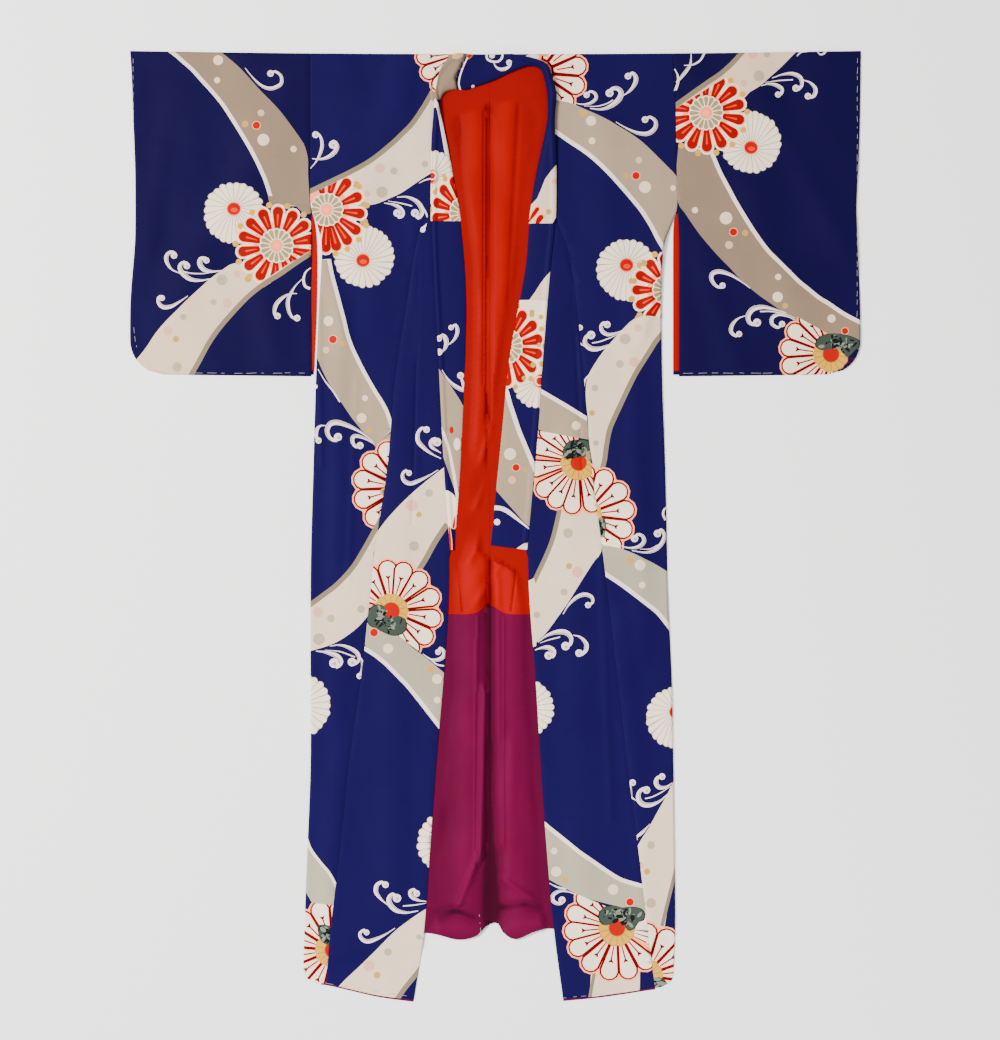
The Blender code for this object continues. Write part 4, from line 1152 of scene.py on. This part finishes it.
collarPrint = together(
    scroll([(446, 346), (452, 342), (456, 336.5), (457.5, 330.5), (455.5, 325)], 451, 327.5, 2.6, 2.2),
    scroll([(438, 354), (443, 351), (446, 345.5), (446, 339.5), (442.5, 335)], 439, 338.5, 3, 2.8),
    [(disc(439, 352, 3.6), "scroll")],
    plain("greyBody", (434, 362), (438.5, 368), (445, 377), (452, 388), (458, 397), (463.5, 406),
          (470, 412), (470, 520), (458, 500), (434, 430)),
    stroke([(434, 412), (440, 426), (446, 440), (450, 455), (454, 475), (457, 495), (460, 508)],
           3, "white", tail=1),
    scroll([(442, 370), (448, 379.5), (455, 386), (464, 389.5)], 460.5, 375.5, 3.3, 2.4),
    [(disc(451.5, 430, 2.2, 1.7), "dotRed"), (disc(457, 444, 3.5, 1.86), "white")],
    plain("petal", (441, 489), (449, 491), (453, 494), (456, 498), (458, 503), (459, 528), (441, 528)),
    stroke([(446, 509), (446, 522)], 3.4, "pink"), stroke([(446, 511), (446, 521)], 1.8, "dotRed"),
    stroke([(455, 516), (453.5, 529)], 3.4, "pink"), stroke([(455, 517), (453.5, 528)], 1.8, "dotRed"),
    stroke([(449.5, 526), (450, 552)], 5, "pink"), stroke([(449.5, 527), (450, 552)], 3, "dotRed"),
    stroke([(447, 540), (449, 552)], 2, "dotRed"),
    plain("creamBody", (556, 264), (545, 277.5), (540, 284), (535, 292), (530, 299), (525, 303.5),
          (519, 308.5), (512, 318), (516, 345), (524, 392), (552, 392), (556, 300)),
    daisy(540, 381, radius=28, reach=0, eye=(5, 6)),
    plain("petal", (512, 300), (546, 300), (544, 352), (541, 372), (531, 381), (520, 386), (506, 388),
          (500, 350)),
    [(disc(539.5, 381, 5), "blush"), (disc(540, 381, 4), "eye")],
    redMum(507, 346, 10, radius=40, squash=0.9,
           angles=[61, 36, 11, -13, -38, -64, -90]),
    dots("dotOchre", (532, 312, 2.6), (541, 317, 2.6), (539, 345, 2.4), (533, 365, 2.8), (524, 378, 2.4)),
    stream("greyBody", "white", 4.5,
           [(505, 383), (509, 392), (512, 403), (516, 415), (521, 430), (526, 442), (531, 454),
            (536, 466), (542, 482)],
           [(480, 400), (482, 440), (488, 478), (495, 489), (500, 495), (508, 504), (516, 513), (524, 522),
            (536, 533)], reach=2),
    dots("dotWhite", (510, 454, 6)),
    dots("dotRed", (516, 467.5, 3.6)),
    dots("dotOchre", (525, 470, 2.5)),
    dots("dotPink", (512, 480, 4)),
    stroke([(531, 530), (527, 527), (516, 518), (507, 511), (499, 508), (488, 508)], 4.5, tail=0.3),
    [(disc(497, 522, 3.3), "scroll")],
    plain("creamBody", (515, 552), (517, 548), (523, 544), (530, 541.5), (534, 541), (534, 553)),
)

prints = {
    "sleeveRight": sleeveRightPrint, "sleeveLeft": sleeveLeftPrint, "frontRight": frontRightPrint,
    "frontLeft": frontLeftPrint, "goreRight": goreRightPrint, "goreLeft": goreLeftPrint,
}
print("scene: print laid out")


class Socket:
    # a node's output that can be used in sums
    def __init__(self, maker, source):
        self.maker, self.source = maker, source

    def math(self, operation, first, second):
        return self.maker.node("ShaderNodeMath", {"operation": operation}, {0: first, 1: second})

    def __add__(self, other):
        return self.math("ADD", self, other)

    __radd__ = __add__

    def __mul__(self, other):
        return self.math("MULTIPLY", self, other)

    __rmul__ = __mul__

    def __sub__(self, other):
        return self.math("SUBTRACT", self, other)

    def __rsub__(self, other):
        return self.math("SUBTRACT", other, self)


class Finish:
    # a material, its shader and the nodes that feed it
    def __init__(self, name, **settings):
        self.material = bpy.data.materials.new(name)
        self.material.use_nodes = True
        self.tree = self.material.node_tree
        self.shader = self.tree.nodes["Principled BSDF"]
        for key, value in settings.items():
            self.shader.inputs[key.replace("_", " ")].default_value = value

    def node(self, kind, settings, inputs, output=0):
        made = self.tree.nodes.new(kind)
        for key, value in settings.items():
            setattr(made, key, value)
        for key, value in inputs.items():
            self.feed(made.inputs[key], value)
        return Socket(self, made.outputs[output])

    def feed(self, socket, value):
        if isinstance(value, Socket):
            self.tree.links.new(value.source, socket)
        else:
            socket.default_value = value

    def noise(self, place, scale, detail=2.0, roughness=0.5):
        return self.node("ShaderNodeTexNoise", {}, {"Vector": place, "Scale": scale, "Detail": detail,
                                                    "Roughness": roughness})

    def stretched(self, place, x, y, z):
        return self.node("ShaderNodeVectorMath", {"operation": "MULTIPLY"}, {0: place, 1: (x, y, z)})

    def scaled(self, colour, amount):
        return self.node("ShaderNodeVectorMath", {"operation": "SCALE"}, {0: colour, "Scale": amount})

    def bump(self, height, strength, distance, normal=None):
        inputs = {"Height": height, "Strength": strength, "Distance": distance}
        if normal:
            inputs["Normal"] = normal
        return self.node("ShaderNodeBump", {}, inputs)

    def finish(self, **feeds):
        for key, value in feeds.items():
            self.feed(self.shader.inputs[key.replace("_", " ")], value)
        return self.material


def linear(colour):
    # from a colour as it should look, of 0 to 255, to the dye that gives it under the studio's light
    parts = [part / 255 for part in colour]
    parts = [part / 12.92 if part <= 0.04045 else ((part + 0.055) / 1.055) ** 2.4 for part in parts]
    grey = 0.2126 * parts[0] + 0.7152 * parts[1] + 0.0722 * parts[2]
    parts = [max(grey + 1.2 * (part - grey), 0.004) for part in parts]
    return tuple(min(0.95 * part**1.55 * (1 + 0.55 * part**2), 0.95) for part in parts)


silk = {
    "mottle": 0.16,         # how unevenly the dye took
    "streak": 0.06,         # lighter and darker wefts
    "roughness": 0.62,
    "weave": 0.00012,       # depth of the crepe's grain, in metres
    "creases": 0.0007,      # depth of its slack, in metres
    "fade": 0.13,           # painted light: how much paler the silk is drawn near the hem, as if more brightly lit there
}


def silkFinish(name, **settings):
    made = Finish(name, Specular_IOR_Level=0.03, Sheen_Weight=0.02, Sheen_Roughness=0.45, **settings)
    place = made.node("ShaderNodeTexCoord", {}, {}, "Object")
    patches = made.noise(made.stretched(place, 9, 5, 1), 1.0, 4, 0.6)
    wefts = made.noise(made.stretched(place, 12, 900, 1), 1.0, 2)
    grain = made.noise(made.stretched(place, 1, 0.7, 1), 1500.0, 2)
    shade = 1 + (patches - 0.5) * silk["mottle"] * 2 + (wefts - 0.5) * silk["streak"] * 2
    # painted light: the base colour is made brighter towards the hem, as if the lamps lit it more there
    down = made.node("ShaderNodeSeparateXYZ", {}, {0: place}, 1)
    shade = shade * (1 - silk["fade"] * down)
    dye = made.node("ShaderNodeVertexColor", {"layer_name": "dye"}, {})
    rough = silk["roughness"] + (grain - 0.5) * 0.12
    slack = made.noise(made.stretched(place, 16, 7, 1), 1.0, 3, 0.55)
    bump = made.bump(slack, 1.0, silk["creases"], made.bump(grain, 1.0, silk["weave"]))
    return made.finish(Base_Color=made.scaled(dye, shade), Roughness=rough, Normal=bump)


blue = silkFinish("printedSilk")
red = silkFinish("redLiningSilk")
purple = silkFinish("purpleLiningSilk")
print("scene: silks")


def inMillimetres(points):
    # from the layout's steps to the world
    x = (points[:, 0] - layout["middle"]) * layout["step"]
    return np.column_stack([x, garment["shoulderY"] - (points[:, 1] - layout["shoulder"]) * layout["step"]])


def nearPanel(shapes, outline):
    # the shapes of a print that reach a panel, anticlockwise
    low, high = outline.min(0), outline.max(0)
    found = []
    for points, dye in shapes:
        points = inMillimetres(points)
        if (points.max(0) > low).all() and (points.min(0) < high).all():
            found.append((points if area(points) > 0 else points[::-1], dye))
    return found


def splitNear(line, folds):
    # a shape's line, with more points where it crosses a folded edge
    ends = np.roll(line, -1, 0)
    counts = np.maximum((np.hypot(*(ends - line).T) / 1.3).astype(int), 1)
    part = np.repeat(np.arange(len(line)), counts)
    share = np.concatenate([np.arange(count) / count for count in counts])
    points = line[part] + (ends - line)[part] * share[:, None]
    kept = share == 0
    for edge in folds:
        kept |= segmentDistance(points, edge["line"], 8) < 7
    return points[kept]


def meshOf(name, points, faces, normals, colours, material):
    # a piece from points in millimetres, with a normal and a dye for each corner of its faces
    mesh = bpy.data.meshes.new(name)
    mesh.from_pydata((points * 0.001).tolist(), [], faces)
    mesh.materials.append(material)
    mesh.shade_smooth()
    if colours is not None:
        dye = mesh.color_attributes.new("dye", "FLOAT_COLOR", "CORNER")
        dye.data.foreach_set("color", np.asarray(colours, np.float32).ravel())
    if normals is not None:
        mesh.normals_split_custom_set(normals.tolist())
    piece = bpy.data.objects.new(name, mesh)
    bpy.context.scene.collection.objects.link(piece)
    return piece


def dyeColours(tops, shapes, ground):
    # the dye of each triangle's topmost shape, at its three corners
    palette = [(*linear(dyes[ground]), 1)] + [(*linear(dyes[dye]), 1) for _, dye in shapes]
    return np.repeat(np.array([palette[top] for top in tops]), 3, 0)


def lowerOutline(panel, rimPoints, inward, down):
    # the rim of a panel's lower face, drawn in under its folded edges
    pull = np.zeros(len(rimPoints))
    for edge in panel.edges:
        if edge.get("fold"):
            pull = np.maximum(pull, gripOf(edge, down) * (segmentDistance(rimPoints, edge["line"]) < 0.05))
    return rimPoints + inward * (pull * panel.thickness)[:, None]


def rimFaces(rim, loop, nearest, shift):
    # faces that join the upper face's rim to the lower face's loop of points
    faces, most = [], 60
    for i in range(len(rim)):
        j = (i + 1) % len(rim)
        between = (nearest[j] - nearest[i]) % len(loop)
        between = between if between < most else 0
        below = [int(loop[(nearest[i] + k) % len(loop)]) + shift for k in range(between + 1)]
        faces.append([int(rim[j]), int(rim[i]), *below])
    return faces


# Painted light and shade on the lining's dye, from the height of its folds
lightOfFolds = {
    "level": 0.8,
    "top": 0.04,             # more painted light for each millimetre of rise
    "hollow": 0.08,          # more painted shade for each millimetre of depth
    "least": 0.32,
    "most": 1.14,
}


def lightOn(height):
    light = lightOfFolds["level"] + lightOfFolds["top"] * np.maximum(height, 0)
    light = light + lightOfFolds["hollow"] * np.minimum(height, 0)
    return np.clip(light, lightOfFolds["least"], lightOfFolds["most"])


# Each cloth: its silk, its slot, its thickness in millimetres and the dye of its ground
cloths = {
    "body": {"silk": blue, "slot": "outer_silk", "thickness": 1.0, "ground": "ground"},
    "sleeve": {"silk": blue, "slot": "outer_silk", "thickness": 1.0, "ground": "sleeveGround"},
    "collar": {"silk": blue, "slot": "outer_silk", "thickness": 0.9, "ground": "ground"},
    "upperLining": {"silk": red, "slot": "upper_lining", "thickness": 0.9, "ground": "redLining"},
    "hemLining": {"silk": purple, "slot": "hem_lining", "thickness": 0.9, "ground": "purpleLining"},
}


def addPanel(panel, cloth, node, shapes=(), under=(), flat=None, cut=None, relief=None):
    ground = cloths[cloth]["ground"]
    shapes, under = nearPanel(shapes, panel.outline), nearPanel(under, panel.outline)
    folds = [edge for edge in panel.edges if edge.get("fold")]
    shapes = [(splitNear(points, folds), dye) for points, dye in shapes]

    # the upper face
    inner = panel.innerPoints(panel.step, fineOffsets)
    plan, corners, tops = triangulate(panel.outline, inner, [shape[0] for shape in shapes])
    z, normal = panel.normals(plan)
    rim = rimOf(plan, panel.outline)
    rimPoints = plan[rim]
    run = np.roll(rimPoints, -1, 0) - np.roll(rimPoints, 1, 0)
    run /= np.maximum(np.linalg.norm(run, axis=1), 1e-9)[:, None]
    inward = np.stack([-run[:, 1], run[:, 0]], 1)

    # the lower face
    lower = lowerOutline(panel, rimPoints, inward, shoulderY(rimPoints[:, 0]) - rimPoints[:, 1])
    fewer = inner if panel.fine else panel.innerPoints(28, fewOffsets)
    fewer = fewer[insideOutline(fewer, lower)]
    backPlan, backCorners, backTops = triangulate(lower, fewer, [shape[0] for shape in under])
    loop = rimOf(backPlan, lower)
    nearest = nearestOf(lower, backPlan[loop])
    backZ = np.clip(panel.surface(backPlan, panel.thickness), 0, None)
    backZ[loop[nearest]] = np.clip(z[rim] - panel.thickness, 0, None)

    points = np.concatenate([np.column_stack([plan, z]), np.column_stack([backPlan, backZ])])
    edging = rimFaces(rim, loop, nearest, len(plan))
    faces = corners.tolist() + (backCorners[:, ::-1] + len(plan)).tolist() + edging
    sides = np.column_stack([-inward, np.full(len(inward), 0.2)])
    counts = [len(face) for face in edging]
    normals = [normal[corners].reshape(-1, 3), np.tile((0.0, 0.0, -1.0), (len(backCorners) * 3, 1)),
               np.repeat(sides, counts, 0)]
    colours = [dyeColours(tops, shapes, ground), dyeColours(backTops, under, ground),
               np.tile((*linear(dyes[ground]), 1.0), (sum(counts), 1))]
    # painted light on the tops of the folds and painted shade in their hollows, multiplied into the dye
    if relief:
        height = relief(plan[:, 0], shoulderY(plan[:, 0]) - plan[:, 1])
        colours[0][:, :3] *= lightOn(height)[corners].reshape(-1, 1)
    piece = meshOf(panel.name, points, faces, np.concatenate(normals), np.concatenate(colours),
                   cloths[cloth]["silk"])
    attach(piece, "root")
    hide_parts(node)
    cut or area(panel.outline) / 1e6


def lineOf(points):
    # from x and down to the world
    points = np.array(points, float)
    return np.column_stack([points[:, 0], shoulderY(points[:, 0]) - points[:, 1]])


def levelsOf(start, end, step=7):
    # levels from the start of a panel to its end, about a step apart
    return np.linspace(start, end, max(2, int(round((end - start) / step)) + 1))


def panelEdges(left, right, start, end, drop, finishes):
    # the four edges of a panel between left(level) and right(level): left, lower, right and upper
    drop = drop or (lambda x, level: level)
    rows = levelsOf(start, end)
    across, over = (np.linspace(0, 1, max(8, int((right(at) - left(at)) / 7))) for at in (end, start))
    low = [(left(level), drop(left(level), level)) for level in rows]
    high = [(right(level), drop(right(level), level)) for level in rows[::-1]]
    foot = [(left(end) + (right(end) - left(end)) * t, end) for t in across]
    foot = [(x, drop(x, level)) for x, level in foot]
    head = [(right(start) + (left(start) - right(start)) * t, start) for t in over]
    head = [(x, drop(x, level)) for x, level in head]
    edges = [{"line": lineOf(line)} for line in (low, foot, high, head)]
    for edge, finish in zip(edges, finishes):
        edge.update(finish)
    return edges


seam, hemEdge = {"radius": 2.6, "lip": 0.9}, {"radius": 1.4, "lip": 0.9}
fold = {"fold": 1, "radius": garment["foldRadius"]}

# How the panels meet, in millimetres
sewing = {
    "inset": 0.15,           # how far an edge stands inside its line
    "backTuck": 5.7,         # how far the back stays inside the folded side below the armhole
    "sleeveTuck": 2.7,       # how far the back of a sleeve stays inside its front
    "goreUnder": 0.4,        # how far a gore goes under its front
    "collarOver": 4,         # how far a gore goes under the collar
    "sleeveLining": 34,      # width of the lining at a sleeve's inner opening
    "hemLiningInset": 31,    # from a front's side to the lining under its hem
    "hemLiningGap": 0.3,     # from that lining to the gore's front edge
    "hemLiningDepth": 26,    # how far up from the hem it reaches
    "hemOver": 3,            # how far a lining goes on past its hem
}


def addSewn(names, side, cloth, lines, levels, height, step, drop=None, finishes=(), fine=None, **looks):
    # a panel between its outer and its inner line; the finishes are of its outer, lower, inner
    # and upper edge
    order = (0, 1, 2, 3) if side == "Right" else (2, 1, 0, 3)
    left, right = lines if side == "Right" else lines[::-1]
    finishes = [finishes[i] for i in order] if finishes else ()
    edges = panelEdges(left, right, *levels, drop, finishes)
    name, node = names
    panel = Panel(name + side, edges, height, cloths[cloth]["thickness"], step, fine)
    addPanel(panel, cloth, node + "_" + side.lower(), **looks)


def addBack(side):
    out = outwards(side)
    lines = (lambda level: body["side" + side](level) - out * (
                 sewing["inset"] + sewing["backTuck"] * belowArmhole(level)),
             lambda level: garment["centreX"])
    waist, hem = garment["waistSeam"], garment["backHem"]
    addSewn(("back", "back"), side, "body", lines, (4, hem), backHeight, 10, backDrop,
            fine=[fold for fold in liningFolds if fold[3] > lie["rollsFrom"]],
            under=prints["front" + side] + prints["gore" + side])
    # the lining's narrow folds, and the heights from which its painted light and shade are drawn
    folded = {"fine": liningFolds, "relief": liningShade}
    addSewn(("liningUpper", "back_lining_upper"), side, "upperLining", lines, (6, waist), liningHeight, 7,
            backDrop, **folded)
    levels = (waist + 0.01, hem + sewing["hemOver"])
    addSewn(("liningHem", "back_lining_hem"), side, "hemLining", lines, levels, liningHeight, 7, backDrop,
            **folded)


def addFront(side):
    out = outwards(side)
    sideAt, seamAt, edgeAt = body["side" + side], body["seam" + side], body["edge" + side]
    hem, drop = garment["hemLevel"], frontDrop(side)
    lines = (lambda level: sideAt(level) - out * (
                 sewing["inset"] + corner(hem - level, garment["hemCorner"])), seamAt)
    addSewn(("front", "front"), side, "body", lines, (0, hem), frontHeight, 9, drop,
            [dict(fold, grip=belowArmhole), hemEdge, seam, fold], frontFolds, shapes=prints["front" + side])
    lines = (lambda level: seamAt(level) + out * sewing["goreUnder"],
             lambda level: edgeAt(level) - out * sewing["collarOver"] * (
                 1 - ease((level - garment["collarEnd"]) / 16)))
    addSewn(("gore", "gore"), side, "body", lines, (garment["goreTop"], hem), frontHeight, 9, drop,
            [seam, hemEdge, seam, seam], frontFolds, shapes=prints["gore" + side])
    lines = (lambda level: sideAt(level) - out * sewing["hemLiningInset"],
             lambda level: edgeAt(level) + out * sewing["hemLiningGap"])
    levels = (hem - sewing["hemLiningDepth"], hem + sewing["hemOver"])
    addSewn(("hemLining", "hem_lining"), side, "hemLining", lines, levels, hemLiningHeight, 8, drop,
            [seam, hemEdge, seam, seam])


def addSleeve(side):
    out = outwards(side)
    end, tuck, printed = garment["sleeveDrop"], sewing["sleeveTuck"], prints["sleeve" + side]
    outerAt = lambda tuck: lambda level: sleeve["outer" + side](level) - out * (
        tuck + corner(end - tuck - level, garment["sleeveCorner"]))
    lines = (outerAt(0), lambda level: sleeve["inner" + side](level) + out * sewing["inset"])
    addSewn(("sleeveFront", "sleeve_front"), side, "sleeve", lines, (0, end), frontHeight, 9, None,
            [fold, fold, seam, fold], frontFolds, shapes=printed)
    inner = lambda level: sleeve["back" + side](level) + out * sewing["inset"]
    addSewn(("sleeveBack", "sleeve_back"), side, "sleeve", (outerAt(tuck), inner), (tuck, end - tuck),
            levelAt(lie["backTop"]), 16, under=printed)
    lines = (lambda level: inner(level) + out * sewing["sleeveLining"], inner)
    addSewn(("sleeveLining", "sleeve_lining"), side, "upperLining", lines,
            (garment["armhole"] + 10, end - 9), levelAt(lie["sleeveLiningTop"]), 9)


for side in ("Right", "Left"):
    addBack(side)
    addFront(side)
    addSleeve(side)
    print("scene: panels of the", side.lower(), "side")


collar = {
    "foot": 2.8,             # height of its underside over the floor, where it lies on the lining
    "onFront": 6.5,          # how much of its width lies on a front
    "bandInset": 1.5,        # how far the band lies inside the over-collar
    "flatWidth": 0.055,      # its width before it is folded, in metres
    "points": (24, 24),      # points for each row of the table, and across
    "finePoints": (72, 48),
}
collarAt = [curve(range(len(collarRows)), column) for column in zip(*collarRows)]


def collarGrid(start, end, fineness, inset):
    # points over the collar's arch, and below them: rows along it, from its sewn edge to its folded one
    perRow, across = fineness
    at = np.linspace(start, end, int((end - start) * perRow) + 1)
    outerX, outerDown, innerX, innerDown, rise, lap = (column(at)[:, None] for column in collarAt)
    width = np.hypot(innerX - outerX, innerDown - outerDown)
    turn = np.pi * np.linspace(1, 0, across + 1)[None]
    share = 0.5 + (0.5 - inset / width) * np.cos(turn)
    lift = (rise - inset) * np.clip(np.sin(turn), 0, 1) ** 0.55
    x = outerX + (innerX - outerX) * share
    down = outerDown + (innerDown - outerDown) * share
    past = (share * width - collar["onFront"]) / collar["onFront"]
    base = collar["foot"] + lie["underFront"] * np.clip(lap, 0, 1) * (1 - ease(past))
    crease = foldsHeight(collarFolds, x, down, lie["deepestShade"]) * np.clip(np.sin(turn), 0, 1) ** 0.3
    lift = np.maximum(lift + crease, 0.12 * lift)
    return np.stack([x, shoulderY(x) - down, base + lift], 2), np.stack([x, shoulderY(x) - down, base], 2)


class Band(Panel):
    # a length of the collar, whose height is read off its arch
    def __init__(self, name, start, end, inset):
        thickness = cloths["collar"]["thickness"]
        grid, under = collarGrid(start, end, collar["points"], inset)
        if name == "overCollar":
            under = collarGrid(start, end, collar["points"], inset + thickness)[0]
        rim = np.concatenate([grid[0, :-1], grid[:-1, -1], grid[-1, :0:-1], grid[:0:-1, 0]])[:, :2]
        super().__init__(name, [{"line": np.concatenate([rim, rim[:1]])}], None, thickness)
        dense = collarGrid(start, end, collar["finePoints"], inset)[0]
        self.inner = grid[1:-1, 1:-1, :2].reshape(-1, 2)
        self.low = under[1:-1:3, 2:-2:3, :2].reshape(-1, 2)
        self.top, self.bottom = self.treeOf(dense), self.treeOf(under)

    def treeOf(self, grid):
        rows, columns = grid.shape[:2]
        at = np.arange(rows * columns).reshape(rows, columns)
        quads = np.stack([at[:-1, :-1], at[:-1, 1:], at[1:, 1:], at[1:, :-1]], 2).reshape(-1, 4)
        return BVHTree.FromPolygons(grid.reshape(-1, 3).tolist(), quads.tolist())

    def surface(self, points, inset=0.0):
        tree = self.bottom if inset else self.top
        heights = []
        for x, y in points:
            hit = tree.ray_cast(Vector((x, y, 90)), Vector((0, 0, -1)))[0]
            heights.append((hit or tree.find_nearest(Vector((x, y, 4)))[0]).z)
        return np.array(heights)

    def innerPoints(self, step, offsets):
        return self.low if offsets is fewOffsets else self.inner


# each band, its node and print, its length laid flat in metres and its cloth in square metres
band = Band("collarBand", 0, len(collarRows) - 1, collar["bandInset"])
overCollar = Band("overCollar", *overCollarEnds, 0)
bands = [(band, "collar", collarPrint, 1.8, 0.08), (overCollar, "over_collar", overCollarPrint, 0.8, 0.032)]
for piece, node, shapes, length, cut in bands:
    addPanel(piece, "collar", node, shapes, flat=(collar["flatWidth"], length), cut=cut)
print("scene: collar")


# Tacking stitches: a line from x, y to x, y in the layout's steps, how many stitches, and on what.
tacking = [
    (193, 373, 310, 373, 9, frontHeight), (682, 373, 776, 373, 7, frontHeight),
    (133, 57, 133, 186, 15, frontHeight), (133.5, 326, 137, 352, 3, frontHeight),
    (857.5, 56, 857, 318, 27, frontHeight), (324, 983, 414, 997.5, 6, frontHeight),
    (561, 998.5, 590, 995.5, 3, frontHeight), (479, 914, 481, 934, 3, liningHeight),
]


# The tacking thread, in millimetres
thread = {
    "wide": 0.27,            # half its width
    "high": 0.26,            # half its height
    "over": 0.42,            # how far it runs over the cloth
    "under": -0.2,           # how far its ends go under
    "stray": 0.5,            # how far a stitch strays from its line
    "sides": 6,
}


def stitchFaces(first, rings):
    # the faces of one stitch: quads between its rings of points, and its two ends
    sides, faces = thread["sides"], []
    for ring in range(rings - 1):
        for k in range(sides):
            a, b = first + ring * sides + k, first + ring * sides + (k + 1) % sides
            faces.append((a, b, b + sides, a + sides))
    last = first + (rings - 1) * sides
    return faces + [tuple(range(first + sides - 1, first - 1, -1)), tuple(range(last, last + sides))]


def addStitches(name, rows):
    draw = random.Random(21)
    points, faces, shares = [], [], (0, 0.08, 0.5, 0.92, 1)
    turns = [math.tau * i / thread["sides"] for i in range(thread["sides"])]
    stray = thread["stray"]
    for x0, y0, x1, y1, count, height in rows:
        ends = inMillimetres(np.array([(x0, y0), (x1, y1)], float))
        run = (ends[1] - ends[0]) / count
        aside = np.array([-run[1], run[0]]) / float(np.hypot(*run))
        for i in range(count):
            start = ends[0] + run * (i + draw.uniform(0.02, 0.3)) + aside * draw.uniform(-stray, stray)
            end = ends[0] + run * (i + draw.uniform(0.45, 0.9)) + aside * draw.uniform(-stray, stray)
            faces += stitchFaces(len(points), len(shares))
            for share in shares:
                middle = start + (end - start) * share
                x, y = np.array([middle[0]]), np.array([middle[1]])
                z = float(height(x, shoulderY(x) - y)[0]) + thread["over" if 0 < share < 1 else "under"]
                for turn in turns:
                    wide = thread["wide"] * math.cos(turn)
                    points.append((*(middle + aside * wide), z + thread["high"] * math.sin(turn)))
    white = Finish("whiteThread", Roughness=0.8, Specular_IOR_Level=0.1,
                   Base_Color=(*linear(dyes["thread"]), 1)).material
    stitches = meshOf(name, np.array(points), faces, None, None, white)
    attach(stitches, "root")


addStitches("tackingStitches", tacking)
print("scene: stitches")

studio = {
    "floor": 0.9,           # how pale the floor is
    "key": 790.0,           # power of a light, in watts
    "keyPlace": (-3.4, 0.9, 4.4),
    "keySize": 2.1,
    "fill": 80.0,
    "fillPlace": (1.4, -2.8, 2.2),
    "fillSize": 2.4,
    "sky": 0.8,
    "floorReach": 25,       # half the floor's width
    "cameraPlace": (0.0077, 0.011, 4.917),
    "lens": 100,
}


def placeLight(name, place, power, size, colour):
    light = bpy.data.objects.new(name, bpy.data.lights.new(name, "AREA"))
    light.data.shape = "DISK"
    light.data.energy = power
    light.data.size = size
    light.data.color = colour
    light.location = place
    light.rotation_euler = Vector(place).to_track_quat("Z", "Y").to_euler()
    bpy.context.scene.collection.objects.link(light)


reach = studio["floorReach"]
floorMesh = bpy.data.meshes.new("floor")
floorMesh.from_pydata([(-reach, -reach, 0), (reach, -reach, 0), (reach, reach, 0), (-reach, reach, 0)],
                      [], [(0, 1, 2, 3)])
floor = bpy.data.objects.new("floor", floorMesh)
bpy.context.scene.collection.objects.link(floor)
pale = (studio["floor"],) * 3
floorMesh.materials.append(Finish("paleFloor", Roughness=0.9, Base_Color=(*pale, 1)).material)

camera = bpy.data.objects.new("camera", bpy.data.cameras.new("camera"))
camera.data.lens = studio["lens"]
camera.location = studio["cameraPlace"]
camera.data.clip_end = 50
bpy.context.scene.collection.objects.link(camera)
bpy.context.scene.camera = camera
placeLight("key", studio["keyPlace"], studio["key"], studio["keySize"], (1.0, 0.985, 0.96))
placeLight("fill", studio["fillPlace"], studio["fill"], studio["fillSize"], (0.95, 0.97, 1.0))
world = bpy.data.worlds.new("world")
bpy.context.scene.world = world
world.use_nodes = True
world.node_tree.nodes["Background"].inputs["Color"].default_value = (1, 1, 1, 1)
world.node_tree.nodes["Background"].inputs["Strength"].default_value = studio["sky"]
print("scene: floor, camera and lights")
